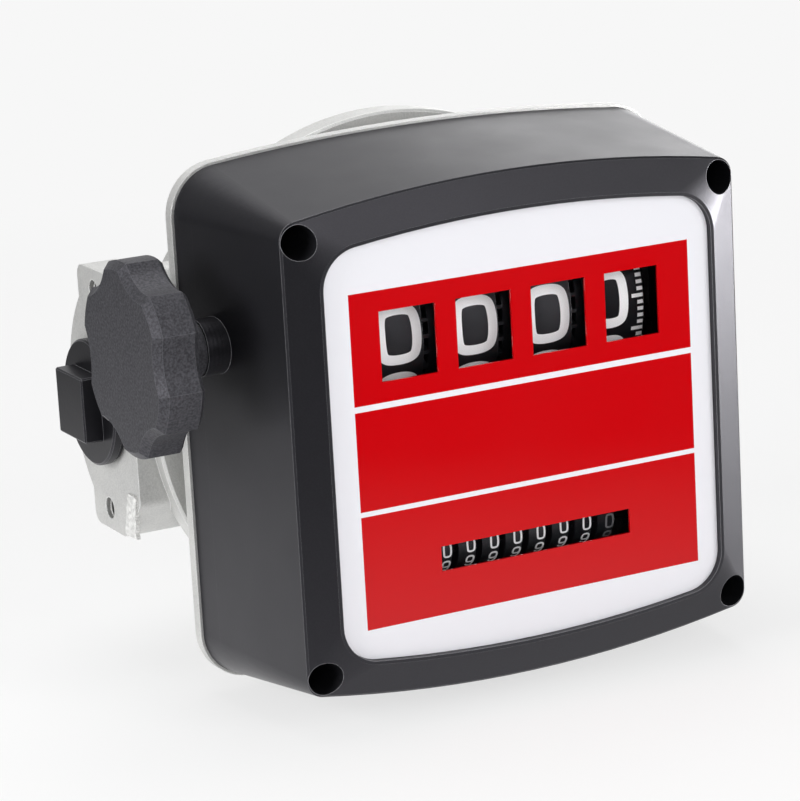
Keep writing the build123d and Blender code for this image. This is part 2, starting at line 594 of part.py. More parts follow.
def transfer_pinion(x_from, width, gear, phase, shaft_r, y, z):
    """Transfer pinion: full teeth on its left half, every other tooth cut back on its right half."""
    middle = x_from + width * 0.45
    full = extrude(sideways(x_from, y, z) * gear_face(gear, phase), middle - x_from)
    half_gear = (gear[0] // 2, gear[1] * 2)
    core = Circle(pitch_r(gear) - DEDENDUM * gear[1])
    for tooth in range(half_gear[0]):
        turn = phase + 360 / gear[0] / 2 * 2 * (2 * tooth)
        core += Rot(0, 0, turn) * Pos(pitch_r(gear) * 0.72, 0) * Rectangle(pitch_r(gear) * 0.9, gear[1] * 1.0)
    cut = extrude(sideways(middle, y, z) * core, x_from + width - middle)
    return full + cut - rod_x(shaft_r + RUNNING, x_from - 1, x_from + width + 1, y, z)


def number_transfer(place):
    """Transfer pinion between the wheels of two places of the large register."""
    left_wheel, right_wheel = WHEEL_XS[place + 1], WHEEL_XS[place]
    start = left_wheel + WHEEL_W / 2 + SLACK
    width = right_wheel - WHEEL_W / 2 - SLACK - start
    return transfer_pinion(start, width, WHEEL_TRANSFER, TRANSFER_PHASE,
                           TRANSFER_SHAFT_R, TRANSFER_Y, TRANSFER_Z)


def total_wheel(place):
    """Small number wheel of the totaliser; the first one carries the drive gear on a long hub."""
    x = TOTAL_XS[place]
    left, right = x - TOTAL_W / 2, x + TOTAL_W / 2
    ring_t = 0.85
    wheel = rod_x(TOTAL_R, left, right, TOTAL_Y, TOTAL_Z)
    if place < len(TOTAL_XS) - 1:
        carry = carry_face(TOTAL_RING, 2, 180.0)
        wheel += extrude(sideways(left - ring_t, TOTAL_Y, TOTAL_Z) * carry, ring_t)
    if place > 0:
        wheel += extrude(sideways(right, TOTAL_Y, TOTAL_Z) * gear_face(TOTAL_RING), ring_t)
    else:
        wheel += rod_x(3.5, right, TOTAL_GEAR_X, TOTAL_Y, TOTAL_Z)
        gear = sideways(TOTAL_GEAR_X, TOTAL_Y, TOTAL_Z) * gear_face(TOTAL_GEAR, TOTAL_GEAR_PHASE)
        wheel += extrude(gear, GEAR_T)
    return wheel - rod_x(TOTAL_SHAFT_R + RUNNING, left - 3, TOTAL_GEAR_X + 9, TOTAL_Y, TOTAL_Z)


def total_transfer(place):
    start = TOTAL_XS[place + 1] + TOTAL_W / 2 + 0.15
    width = TOTAL_XS[place] - TOTAL_W / 2 - 0.15 - start
    return transfer_pinion(start, width, TOTAL_TRANSFER, TOTAL_TRANSFER_PHASE,
                           TOTAL_TRANSFER_SHAFT_R, TOTAL_TRANSFER_Y, TOTAL_Z)


def side_plate(side):
    """Stamped plate that carries the register's shafts, with a foot on the casting's floor."""
    front, back = FRONT_WALL_Y + 3, FLOOR_Y
    foot_low, foot_high = LAY_Z + pitch_r(LAY_GEAR) - 4, WHEEL_Z - 2
    outline = [(front, TOTAL_Z - 13), (front, TOTAL_Z + 12), (WHEEL_Y - 14, WHEEL_Z + 12),
               (WHEEL_Y + 4, WHEEL_Z + 12), (back, foot_high), (back, foot_low),
               (LAY_GEAR_Y - 9, foot_low - 10), (CROSS_Y + 8, CROSS_Z - 8), (TOTAL_IDLER_Y + 8, TOTAL_Z - 13)]
    face = make_face(Polyline(outline, close=True))
    face = fillet(face.vertices().filter_by(lambda v: v.X < back - 0.01), 4.0)
    x = SIDE_PLATE_X if side > 0 else -SIDE_PLATE_X - SIDE_PLATE_T
    plate = extrude(sideways(x) * face, SIDE_PLATE_T)
    foot_x = x - 7 if side > 0 else x + SIDE_PLATE_T
    foot_z = (foot_low + foot_high) / 2
    plate += Pos(foot_x + 3.5, back - 1, foot_z) * Box(7, 2, foot_high - foot_low)
    bores = [(WHEEL_Y, WHEEL_Z, WHEEL_BORE_R + RUNNING), (TRANSFER_Y, TRANSFER_Z, TRANSFER_SHAFT_R),
             (TOTAL_Y, TOTAL_Z, TOTAL_SHAFT_R), (TOTAL_TRANSFER_Y, TOTAL_Z, TOTAL_TRANSFER_SHAFT_R)]
    if side > 0:
        bores.append((CROSS_Y, CROSS_Z, CROSS_SHAFT_R + RUNNING))
    for y, z, radius in bores:
        plate -= rod_x(radius, x - 1, x + SIDE_PLATE_T + 1, y, z)
    return plate


def fixed_rod(radius, y, z):
    return rod_x(radius, -SIDE_PLATE_X - SIDE_PLATE_T, SIDE_PLATE_X + SIDE_PLATE_T, y, z)


def reset_shaft():
    """Shaft of the large wheels, which runs out through the housing to the knob."""
    return rod_x(WHEEL_BORE_R, KNOB_OUTER_X + 4, SIDE_PLATE_X + SIDE_PLATE_T + 2, WHEEL_Y, WHEEL_Z)


# Housing and face

def housing_screw_places():
    return [(x, z) for x in (-SCREW_X, SCREW_X) for z in (-SCREW_Z, SCREW_Z)]


def side_wall_x(y):
    """Half-width of the housing at a depth, on its drafted side walls."""
    return FRONT_HALF_W + (REAR_HALF_W - FRONT_HALF_W) * (y - FRAME_Y) / HOUSING_DEPTH


def register_cover():
    lip, front = facing(FRAME_Y) * front_panel(EDGE), facing(FRAME_Y + EDGE) * front_panel()
    rear = facing(RIM_Y) * rear_panel()
    outer = loft([lip.face(), front.face(), rear.face()], ruled=True)
    opening = panel(FACE_HALF_W + 1.2, FACE_PEAK + 1.2, FACE_BOW + 1.2, FACE_CORNER + 1.2)
    frame = loft([(facing(OPENING_Y) * opening).face(), lip.face()], ruled=True)
    cavity = loft([(facing(FRONT_WALL_Y) * front_panel(HOUSING_WALL, 4.0)).face(),
                   (facing(RIM_Y) * rear_panel(HOUSING_WALL, REAR_CORNER - HOUSING_WALL)).face()], ruled=True)
    for x, z in housing_screw_places():
        cavity -= rod_y(PILLAR_R, FRAME_Y - 1, RIM_Y + 1, x, z)
    cover = outer + frame - cavity
    recess = extrude(facing(LEDGE_Y) * face_panel(-SEAT), LEDGE_Y - OPENING_Y + 1)
    sight = extrude(facing(FRONT_WALL_Y + 1) * face_panel(LEDGE), FRONT_WALL_Y + 2 - OPENING_Y)
    cover -= recess + sight
    for x, z in housing_screw_places():
        cover -= rod_y(WELL_R, OPENING_Y - 1, RIM_Y - WELL_FLOOR, x, z)
        cover -= rod_y(COVER_SCREW_R + 0.3, RIM_Y - WELL_FLOOR - 1, RIM_Y + 1, x, z)
    wall = -side_wall_x(WHEEL_Y)
    boss = rod_x(BOSS_R, BOSS_END_X, wall + HOUSING_WALL - 0.5, WHEEL_Y, WHEEL_Z)
    cover += boss
    cover -= rod_x(WHEEL_BORE_R + RUNNING, BOSS_END_X - 1, wall + 10, WHEEL_Y, WHEEL_Z)
    return cover


def housing_screws():
    """Pan-head screws at the bottom of the corner wells, as separate solids."""
    seat = RIM_Y - WELL_FLOOR
    screws = []
    for x, z in housing_screw_places():
        head = rod_y(4.5, seat - 3.4, seat, x, z)
        head = chamfer(head.edges().filter_by(GeomType.CIRCLE).sort_by(Axis.Y)[0], 1.0)
        for wide, high in ((5.2, 1.1), (1.1, 5.2)):
            head -= Pos(x, seat - 3.4, z) * Box(wide, 3.2, high)
        screws.append(head + rod_y(COVER_SCREW_R, seat, RIM_Y + RIM_T + 6, x, z))
    return Compound(screws)


def window_cuts():
    """The four large windows and the long one, which the face plate leaves open."""
    cuts = Sketch()
    for x in WHEEL_XS:
        cuts += Pos(x, WINDOW_Z) * Rectangle(WINDOW_W, WINDOW_H)
    return cuts + Pos(TOTAL_X, TOTAL_WINDOW_Z) * Rectangle(TOTAL_WINDOW_W, TOTAL_WINDOW_H)


def face_plate():
    return extrude(facing(LENS_Y) * (face_panel() - window_cuts()), FACE_T)


def window_lens():
    return extrude(facing(LEDGE_Y) * face_panel(), LENS_T)


# Knob, plug and strainer

def knob_face(radius):
    face = Circle(radius)
    offset = KNOB_VALLEY_R + KNOB_SCALLOP_R
    for lobe in range(KNOB_LOBES):
        turn = radians(KNOB_PHASE + 360 * (lobe + 0.5) / KNOB_LOBES)
        face -= Pos(-offset * cos(turn), offset * sin(turn)) * Circle(KNOB_SCALLOP_R)
    return face


def reset_knob():
    """Six-lobed knob with a pocketed back and a hub that meets the housing's boss."""
    back = KNOB_OUTER_X + KNOB_T
    knob = extrude(sideways(KNOB_OUTER_X, WHEEL_Y, WHEEL_Z) * knob_face(KNOB_R), KNOB_T)
    knob = chamfer(knob.faces().sort_by(Axis.X)[0].edges(), KNOB_EDGE)
    knob = chamfer(knob.faces().sort_by(Axis.X)[-1].edges(), KNOB_BACK_EDGE)
    pocket = rod_x(20.0, back - 8, back + 1, WHEEL_Y, WHEEL_Z)
    knob -= pocket - rod_x(11.0, back - 9, back + 2, WHEEL_Y, WHEEL_Z)
    hub = rod_x(KNOB_HUB_R, back - 1, BOSS_END_X - SLACK, WHEEL_Y, WHEEL_Z)
    return knob + hub - rod_x(WHEEL_BORE_R, KNOB_OUTER_X + 4, 0, WHEEL_Y, WHEEL_Z)


def inlet_plug():
    seat = -PORT_X - PLUG_WASHER_T
    flange = rod_x(PLUG_FLANGE_R, seat - PLUG_FLANGE_T, seat)
    flange = chamfer(flange.edges().filter_by(GeomType.CIRCLE).sort_by(Axis.X)[0], 0.6)
    head_x = seat - PLUG_FLANGE_T - PLUG_HEAD_H / 2
    head = Pos(head_x, 0, 0) * Box(PLUG_HEAD_H, PLUG_HEAD, PLUG_HEAD)
    head = chamfer(head.edges().filter_by(Axis.X) + head.faces().sort_by(Axis.X)[0].edges(), 0.5)
    barrel = rod_x(PORT_R - SEAT, seat, -PORT_X + PLUG_LENGTH)
    barrel -= rod_x(PORT_R - 3.5, seat, -PORT_X + PLUG_LENGTH + 1)
    return flange + head + barrel


def plug_washer():
    ring = rod_x(PLUG_FLANGE_R - 0.8, -PORT_X - PLUG_WASHER_T, -PORT_X)
    return ring - rod_x(PORT_R + 0.3, -PORT_X - 3, -PORT_X + 1)


def inlet_strainer():
    """Slotted cup at the bottom of the inlet thread."""
    end = -PORT_X + PORT_THREAD
    cup = rod_x(DUCT_R - SEAT, end, end + 6) - rod_x(DUCT_R - 1.2, end - 1, end + 4.8)
    rim = rod_x(PORT_R - SEAT, end - 1.2, end) - rod_x(DUCT_R - 1.2, end - 3, end + 1)
    cup += rim
    for step in range(-3, 4):
        height = 2 * sqrt((DUCT_R - 3) ** 2 - (2.6 * step) ** 2)
        cup -= Pos(end + 5, 2.6 * step, 0) * Box(4, 1.2, height)
    return cup


def build_nodes():
    nodes = {
        "body_casting": body_casting(),
        "chamber_cover": chamber_cover(),
        "cover_seal": cover_seal(),
        "cover_screws": cover_screws(),
        "front_chamber": chamber_half(True),
        "rear_chamber": chamber_half(False),
        "partition_plate": partition_plate(),
        "outlet_seal": outlet_seal(),
        "nutating_disc": nutating_disc(),
        "drive_crank": drive_crank(),
        "drive_spindle": drive_spindle(),
        "spindle_bush": spindle_bush(),
        "lay_gear": lay_gear(),
        "crown_wheel": crown_wheel(),
        "cross_shaft": cross_shaft(),
        "litre_idler": idler(LITRE_IDLER, IDLER_PHASE, GEAR_PLANE_X, CROSS_Y, IDLER_Z),
        "total_idler": idler(TOTAL_IDLER, TOTAL_IDLER_PHASE, TOTAL_GEAR_X, TOTAL_IDLER_Y, TOTAL_IDLER_Z),
        "idler_stubs": idler_stubs(),
        "bridge_posts": bridge_posts(),
        "gear_bridge": gear_bridge(),
        "side_plate_left": side_plate(-1),
        "side_plate_right": side_plate(1),
        "transfer_shaft": fixed_rod(TRANSFER_SHAFT_R, TRANSFER_Y, TRANSFER_Z),
        "total_shaft": fixed_rod(TOTAL_SHAFT_R, TOTAL_Y, TOTAL_Z),
        "total_transfer_shaft": fixed_rod(TOTAL_TRANSFER_SHAFT_R, TOTAL_TRANSFER_Y, TOTAL_Z),
        "reset_shaft": reset_shaft(),
        "register_cover": register_cover(),
        "housing_screws": housing_screws(),
        "face_plate": face_plate(),
        "window_lens": window_lens(),
        "reset_knob": reset_knob(),
        "inlet_plug": inlet_plug(),
        "plug_washer": plug_washer(),
        "inlet_strainer": inlet_strainer(),
    }
    for place in range(len(WHEEL_XS)):
        nodes[f"number_wheel_{place + 1}"] = number_wheel(place)
    for place in range(len(WHEEL_XS) - 1):
        nodes[f"transfer_pinion_{place + 1}"] = number_transfer(place)
    for place in range(len(TOTAL_XS)):
        nodes[f"total_wheel_{place + 1}"] = total_wheel(place)
    for place in range(len(TOTAL_XS) - 1):
        nodes[f"total_pinion_{place + 1}"] = total_transfer(place)
    return nodes


os.makedirs("parts", exist_ok=True)
for name, solid in build_nodes().items():
    export_step(Pos(-PORT_X, 0, 0) * solid, f"parts/{name}.step")
    print(name)
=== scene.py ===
# %% [markdown]
# # A mechanical fuel flow meter
#
# The meter is a die-cast aluminium pot with two port arms. A black moulded housing in front of it holds
# two registers of number wheels, which show through windows in a glossy printed plate. A lobed knob on the
# left resets the upper register. The solid parts come ready-made from a CAD frame, so this script is about
# the rest: what each surface is made of, the numerals on the wheels, the screw threads, the print on the
# face, and the light.

# %% Load the frame
import math

import bpy
from mathutils import Matrix, Vector, noise


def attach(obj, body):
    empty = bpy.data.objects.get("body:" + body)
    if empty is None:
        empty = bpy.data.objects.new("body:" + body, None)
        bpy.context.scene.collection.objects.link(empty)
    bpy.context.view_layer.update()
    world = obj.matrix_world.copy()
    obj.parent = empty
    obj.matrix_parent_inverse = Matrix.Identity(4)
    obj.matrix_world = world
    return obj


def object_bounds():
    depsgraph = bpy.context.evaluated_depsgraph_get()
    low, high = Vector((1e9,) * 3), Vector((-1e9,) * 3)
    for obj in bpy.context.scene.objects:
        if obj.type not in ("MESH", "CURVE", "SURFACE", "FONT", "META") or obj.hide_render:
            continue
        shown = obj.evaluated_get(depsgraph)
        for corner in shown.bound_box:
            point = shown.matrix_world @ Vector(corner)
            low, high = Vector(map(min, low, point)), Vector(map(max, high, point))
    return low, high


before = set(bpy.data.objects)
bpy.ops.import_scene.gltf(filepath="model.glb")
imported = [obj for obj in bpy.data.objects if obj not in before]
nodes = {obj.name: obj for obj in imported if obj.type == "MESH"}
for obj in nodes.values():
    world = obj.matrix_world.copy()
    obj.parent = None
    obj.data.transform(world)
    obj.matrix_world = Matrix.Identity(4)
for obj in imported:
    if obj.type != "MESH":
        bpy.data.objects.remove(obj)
cad_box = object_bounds()
print("parts in the frame:", len(nodes))

# %% [markdown]
# ## Where things are
#
# The frame's origin is the mouth of the right-hand port, and X runs across the face. Most of the meter is
# symmetrical about the middle between its ports, so sizes are easier to read from there. They are written
# in millimetres and turned into Blender's metres in one place.

# %% Sizes
MM = 0.001
MIDDLE_X = -89.0


def at(x, y, z):
    """A point in metres, from millimetres measured from the middle between the ports."""
    return Vector(((x + MIDDLE_X) * MM, y * MM, z * MM))


# %% [markdown]
# ## Camera
#
# The photograph was taken from the left and a little above, with a long lens: the sides of the housing
# stay almost parallel. The camera's place and turn were worked out from the corners of the housing and the
# windows. A long lens far away gives that flat look, where a short lens close by would swell the near
# corner.

# %% Camera
CAMERA_PLACE = Vector((-0.57433, -0.992828, 0.263815))
CAMERA_RIGHT = (0.885307, -0.461774, -0.05474)
CAMERA_UP = (0.160618, 0.193193, 0.967925)
CAMERA_BACK = (-0.436387, -0.865703, 0.245205)

camera_data = bpy.data.cameras.new("photo_camera")
camera_data.sensor_fit = "HORIZONTAL"
camera_data.sensor_width = 36
camera_data.lens = 158.05
camera_data.clip_end = 20
camera = bpy.data.objects.new("photo_camera", camera_data)
bpy.context.scene.collection.objects.link(camera)
turn = Matrix((CAMERA_RIGHT, CAMERA_UP, CAMERA_BACK)).transposed().to_4x4()
camera.matrix_world = Matrix.Translation(CAMERA_PLACE) @ turn
bpy.context.scene.camera = camera
print("camera stands", round(CAMERA_PLACE.length, 2), "m from the outlet port")

# %% [markdown]
# ## One function for shader nodes
#
# Every finish below is a small tree of shader nodes. Writing each link by hand would hide the idea behind
# the bookkeeping, so one function adds a node, fills in its settings and plugs in what feeds it. Colours
# are written as the hex values of a colour picker. Those are sRGB, while shaders add light linearly, so a
# second function turns them.


# %% Node helper
def srgb(code):
    """Turn an sRGB hex colour into the linear values that Blender's shaders work in."""
    parts = [int(code[i:i + 2], 16) / 255 for i in (1, 3, 5)]
    return [c / 12.92 if c <= 0.04045 else ((c + 0.055) / 1.055) ** 2.4 for c in parts] + [1.0]


def add_node(tree, kind, settings=None, links=None):
    """Add a node to a shader tree, fill its properties and sockets, and link its inputs."""
    made = tree.nodes.new(kind)
    for key, value in (settings or {}).items():
        if isinstance(key, str) and hasattr(made, key) and key not in made.inputs:
            setattr(made, key, value)
        else:
            made.inputs[key].default_value = value
    for key, source in (links or {}).items():
        tree.links.new(source, made.inputs[key])
    return made


def new_tree(owner):
    """The empty node tree of a material or a world."""
    owner.use_nodes = True
    owner.node_tree.nodes.clear()
    return owner.node_tree


# %% [markdown]
# ## Floor
#
# The meter stands on a pale paper sweep. To the camera the paper is nearly the background's own grey, and
# only a part of it answers to the lamps, so that a soft shadow is left under the casting. A polished face
# also mirrors the paper. In a real studio the table ends close to the product and the room beyond is dark,
# which is why the glossy plate shows no haze. The paper seen in a reflection fades out with its distance
# for that reason.

# %% Floor
FLOOR_Z = cad_box[0][2]
PAPER, PAPER_SEEN = "#F4F4F4", "#F7F7F7"
TABLE_MIDDLE = at(-60, 60, FLOOR_Z / MM)
TABLE_NEAR, TABLE_FAR, TABLE_MIRRORED = 0.1, 0.47, 1.2
SHADOW_NEAR, SHADOW_FAR, SHADOW_PLAIN = 0.25, 0.7, 0.72

bpy.ops.object.select_all(action="DESELECT")
bpy.ops.mesh.primitive_grid_add(x_subdivisions=8, y_subdivisions=8, size=12)
floor = bpy.context.object
floor.name = "studio_floor"
bpy.ops.transform.translate(value=(0, 0, FLOOR_Z))
bpy.ops.object.transform_apply(location=True, rotation=False, scale=False)
print("floor at", round(FLOOR_Z / MM, 1), "mm")

# %% Paper
paper = bpy.data.materials.new("studio_paper")
tree = new_tree(paper)
ray = add_node(tree, "ShaderNodeLightPath")
place = add_node(tree, "ShaderNodeTexCoord")
from_meter = add_node(tree, "ShaderNodeVectorMath", {"operation": "DISTANCE", 1: TABLE_MIDDLE},
                      {0: place.outputs["Object"]})
reach = add_node(tree, "ShaderNodeMapRange",
                 {"From Min": TABLE_NEAR, "From Max": TABLE_FAR, "To Min": TABLE_MIRRORED, "To Max": 0.0},
                 {"Value": from_meter.outputs["Value"]})
plain = add_node(tree, "ShaderNodeMapRange",
                 {"From Min": SHADOW_NEAR, "From Max": SHADOW_FAR, "To Min": SHADOW_PLAIN, "To Max": 1.0},
                 {"Value": from_meter.outputs["Value"]})
paper_diffuse = add_node(tree, "ShaderNodeBsdfDiffuse", {"Color": srgb(PAPER), "Roughness": 0.4})
paper_shown = add_node(tree, "ShaderNodeEmission", {"Color": srgb(PAPER_SEEN), "Strength": 1.0})
paper_mirrored = add_node(tree, "ShaderNodeEmission", {"Color": srgb(PAPER_SEEN)},
                          {"Strength": reach.outputs[0]})
shown_share = add_node(tree, "ShaderNodeMath", {"operation": "MULTIPLY"},
                       {0: ray.outputs["Is Camera Ray"], 1: plain.outputs[0]})
paper_seen = add_node(tree, "ShaderNodeMixShader",
                      links={0: shown_share.outputs[0], 1: paper_diffuse.outputs[0],
                             2: paper_shown.outputs[0]})
paper_mix = add_node(tree, "ShaderNodeMixShader",
                     links={0: ray.outputs["Is Glossy Ray"], 1: paper_seen.outputs[0],
                            2: paper_mirrored.outputs[0]})
add_node(tree, "ShaderNodeOutputMaterial", links={"Surface": paper_mix.outputs[0]})
floor.data.materials.append(paper)
print("made", paper.name)

# %% [markdown]
# ## Surround and lamps
#
# Black plastic has hardly any colour of its own, so its shape is drawn by what it mirrors. In the
# photograph the top and the right-hand frame of the housing shine while the left side is almost black: the
# bright sweep is behind the meter and to its right, and the room in front and to the left is dark. The
# world below is that studio in one gradient, for reflections only. The plain level of light comes from the
# ambient part and a few large soft lamps, so that white paint renders as white and not brighter. Two of
# the lamps are left out of reflections, because the glossy black shows no sign of them in the photograph.
# The card at the right is the other way round: it is only mirrored, and draws the bright right-hand frame.

# %% Surround
BRIGHT_SIDE = Vector((0.55, 0.83, 0.0))
BRIGHT_FROM, BRIGHT_FULL = 0.3, 0.85
ROOM_LEVEL, SWEEP_LEVEL, AMBIENT_LEVEL = 0.02, 0.8, 0.23
LIGHT = "#FFFFFF"

world = bpy.data.worlds.new("studio")
bpy.context.scene.world = world
tree = new_tree(world)
ray = add_node(tree, "ShaderNodeLightPath")
look = add_node(tree, "ShaderNodeTexCoord")
toward = add_node(tree, "ShaderNodeVectorMath", {"operation": "DOT_PRODUCT", 1: BRIGHT_SIDE},
                  {0: look.outputs["Generated"]})
mirror_level = add_node(tree, "ShaderNodeMapRange",
                        {"From Min": BRIGHT_FROM, "From Max": BRIGHT_FULL, "To Min": ROOM_LEVEL,
                         "To Max": SWEEP_LEVEL}, {"Value": toward.outputs["Value"]})
ambient = add_node(tree, "ShaderNodeBackground", {"Color": srgb(LIGHT), "Strength": AMBIENT_LEVEL})
mirrored = add_node(tree, "ShaderNodeBackground", {"Color": srgb(LIGHT)},
                    {"Strength": mirror_level.outputs[0]})
backdrop = add_node(tree, "ShaderNodeBackground", {"Color": srgb(PAPER_SEEN), "Strength": 1.0})
shown = add_node(tree, "ShaderNodeMath", {"operation": "MAXIMUM"},
                 {0: ray.outputs["Is Camera Ray"], 1: ray.outputs["Is Transmission Ray"]})
lit = add_node(tree, "ShaderNodeMixShader",
               links={0: ray.outputs["Is Glossy Ray"], 1: ambient.outputs[0], 2: mirrored.outputs[0]})
mixed = add_node(tree, "ShaderNodeMixShader",
                 links={0: shown.outputs[0], 1: lit.outputs[0], 2: backdrop.outputs[0]})
add_node(tree, "ShaderNodeOutputWorld", links={"Surface": mixed.outputs[0]})
print("ambient light", AMBIENT_LEVEL)

# %% Lamps
LAMP_TARGET = at(0, -60, 0)
LAMPS = (
    # name, place in mm, side in m, power in W, gives light, shows in reflections
    ("key_lamp", (250, -1050, 560), 0.6, 3.1, True, True),
    ("fill_lamp", (500, -950, 120), 0.5, 2.4, True, False),
    ("camera_side_lamp", (-450, -1000, 260), 0.5, 2.0, True, False),
    ("right_card", (900, -430, -20), 0.2, 19.0, False, True),
    ("back_right_lamp", (850, 950, 230), 0.6, 3.4, True, True),
    ("top_lamp", (0, 200, 1100), 0.8, 7.5, True, True),
    ("left_lamp", (-1000, -200, 300), 0.5, 6.0, True, True),
)
for name, place, side, power, lights, mirrored in LAMPS:
    data = bpy.data.lights.new(name, "AREA")
    data.size = side
    data.energy = power
    lamp = bpy.data.objects.new(name, data)
    bpy.context.scene.collection.objects.link(lamp)
    lamp.location = at(*place)
    lamp.visible_diffuse = lights
    lamp.visible_glossy = mirrored
    lamp.rotation_euler = (LAMP_TARGET - at(*place)).to_track_quat("-Z", "Y").to_euler()
    print(name, "gives", power, "W")

# %% [markdown]
# ## Edges
#
# A moulded or cast edge is never perfectly sharp: it is rounded by a few tenths of a millimetre and
# catches a thin line of light. The CAD faces meet at true corners, so the rounding is left to the shader.
# The Bevel node bends the normal near an edge as a small radius would, and a second helper compares it with
# the true normal to find where edges are. On the black plastics a pale colour is painted there as a thin
# highlight, and on the casting it marks where the skin is rubbed bright.


# %% Edge helpers
EDGE_SAMPLES = 6
FLAT_COSINE, EDGE_COSINE = 0.995, 0.93


def edge_share(tree, bevel):
    """1 on an edge, 0 on the flat: how far the softened normal leans away from the true one."""
    true = add_node(tree, "ShaderNodeNewGeometry")
    same = add_node(tree, "ShaderNodeVectorMath", {"operation": "DOT_PRODUCT"},
                    {0: bevel.outputs["Normal"], 1: true.outputs["Normal"]})
    return add_node(tree, "ShaderNodeMapRange",
                    {"From Min": FLAT_COSINE, "From Max": EDGE_COSINE, "To Min": 0.0, "To Max": 1.0},
                    {"Value": same.outputs["Value"]})


def two_tones(tree, value, low, first, high, second):
    """A colour that goes from one hex tone to another as a value rises."""
    ramp = add_node(tree, "ShaderNodeValToRGB", links={"Fac": value})
    for stop, place, code in zip(ramp.color_ramp.elements, (low, high), (first, second)):
        stop.position = place
        stop.color = srgb(code)
    return ramp.outputs["Color"]


# %% [markdown]
# ## Cast aluminium
#
# The body is pressure die-cast aluminium, shot-blasted but not painted. It is a pale grey metal with a
# dull, sandy skin: a metal base with a high roughness, broken up by a grain of about half a millimetre and
# by faint clouds where the metal ran in the mould. Its edges were trimmed and are brighter than the skin.
# In corners and hollows an occlusion node darkens the colour towards a dark grey, as painted shade.

# %% Cast aluminium
CLOUD_MM, SAND_MM, SAND_DEPTH_MM, TRIMMED_MM, HOLLOW_MM = 14, 0.55, 0.25, 0.5, 22
# The fourth colour is the dark grey of the painted shade in corners and hollows.
CLOUD_DARK, CLOUD_PALE, SAND_PALE, HOLLOW_SHADE, TRIMMED = "#C6C6C5", "#D3D3D1", "#E4E4E2", "#4E4E4D", "#FAFAF9"

cast_aluminium = bpy.data.materials.new("cast_aluminium")
tree = new_tree(cast_aluminium)
where = add_node(tree, "ShaderNodeTexCoord").outputs["Object"]
clouds = add_node(tree, "ShaderNodeTexNoise", {"Scale": 1 / (CLOUD_MM * MM), "Detail": 4.0},
                  {"Vector": where})
grain = add_node(tree, "ShaderNodeTexNoise", {"Scale": 1 / (SAND_MM * MM), "Detail": 3.0}, {"Vector": where})
edges = add_node(tree, "ShaderNodeBevel", {"samples": EDGE_SAMPLES, "Radius": TRIMMED_MM * MM})
cloud_tone = two_tones(tree, clouds.outputs["Fac"], 0.35, CLOUD_DARK, 0.65, CLOUD_PALE)
speckle = add_node(tree, "ShaderNodeMapRange",
                   {"From Min": 0.35, "From Max": 0.65, "To Min": 0.0, "To Max": 0.55},
                   {"Value": grain.outputs["Fac"]})
sandy = add_node(tree, "ShaderNodeMix", {"data_type": "RGBA", 7: srgb(SAND_PALE)},
                 {0: speckle.outputs[0], 6: cloud_tone})
# Painted shade: where the occlusion node finds corners and hollows, the colour is darkened towards that dark
# grey.
open_share = add_node(tree, "ShaderNodeAmbientOcclusion", {"samples": 8, "Distance": HOLLOW_MM * MM})
painted_shade = add_node(tree, "ShaderNodeMapRange",
                 {"From Min": 0.15, "From Max": 0.7, "To Min": 0.5, "To Max": 0.0},
                 {"Value": open_share.outputs["AO"]})
skin = add_node(tree, "ShaderNodeMix", {"data_type": "RGBA", 7: srgb(HOLLOW_SHADE)},
                {0: painted_shade.outputs[0], 6: sandy.outputs[2]})
tone = add_node(tree, "ShaderNodeMix", {"data_type": "RGBA", 7: srgb(TRIMMED)},
                {0: edge_share(tree, edges).outputs[0], 6: skin.outputs[2]})
rough = add_node(tree, "ShaderNodeMapRange", {"To Min": 0.46, "To Max": 0.66},
                 {"Value": grain.outputs["Fac"]})
bump = add_node(tree, "ShaderNodeBump", {"Strength": 0.5, "Distance": SAND_DEPTH_MM * MM},
                {"Height": grain.outputs["Fac"], "Normal": edges.outputs["Normal"]})
metal = add_node(tree, "ShaderNodeBsdfPrincipled", {"Metallic": 0.6},
                 {"Base Color": tone.outputs[2], "Roughness": rough.outputs[0], "Normal": bump.outputs[0]})
add_node(tree, "ShaderNodeOutputMaterial", links={"Surface": metal.outputs[0]})
print("made", cast_aluminium.name)


# %% [markdown]
# ## Moulded plastics and rubber
#
# Most of what the camera sees is moulded plastic, which has one colour right through and takes the texture
# of its steel mould. So one function makes them all, and the differences are in the numbers: the housing
# is ABS from a finely eroded mould, the knob is glass-filled nylon with a coarse, speckled skin that
# grips, the inlet plug is soft polyethylene from a smoother mould. Black plastic is drawn a little above
# black, because some light always scatters in its skin, and its gloss is a trace cooler than the light.
# The mould grain is finer than a pixel, and is drawn at two to three times its size so that it shows. The
# boss of the housing and the hub of the knob were turned, and keep fine rings.


# %% Turned rings
def ring_bump(tree, where, under, start, end, pitch_mm, depth_mm):
    """Grooves turned round an axis along X, between two places in millimetres from the middle."""
    parts = add_node(tree, "ShaderNodeSeparateXYZ", links={0: where})
    turns = add_node(tree, "ShaderNodeMath", {"operation": "MULTIPLY", 1: 2 * math.pi / (pitch_mm * MM)},
                     {0: parts.outputs["X"]})
    wave = add_node(tree, "ShaderNodeMath", {"operation": "SINE"}, {0: turns.outputs[0]})
    inside = add_node(tree, "ShaderNodeMath",
                      {"operation": "COMPARE", 1: ((start + end) / 2 + MIDDLE_X) * MM,
                       2: (end - start) / 2 * MM},
                      {0: parts.outputs["X"]})
    grooves = add_node(tree, "ShaderNodeMath", {"operation": "MULTIPLY"},
                       {0: wave.outputs[0], 1: inside.outputs[0]})
    return add_node(tree, "ShaderNodeBump", {"Strength": 0.8, "Distance": depth_mm * MM},
                    {"Height": grooves.outputs[0], "Normal": under.outputs[0]})


# %% Moulded plastic
PATCH_MM, GLOSS_SWING, COOL_GLOSS = 18, 0.05, "#F6F3FF"


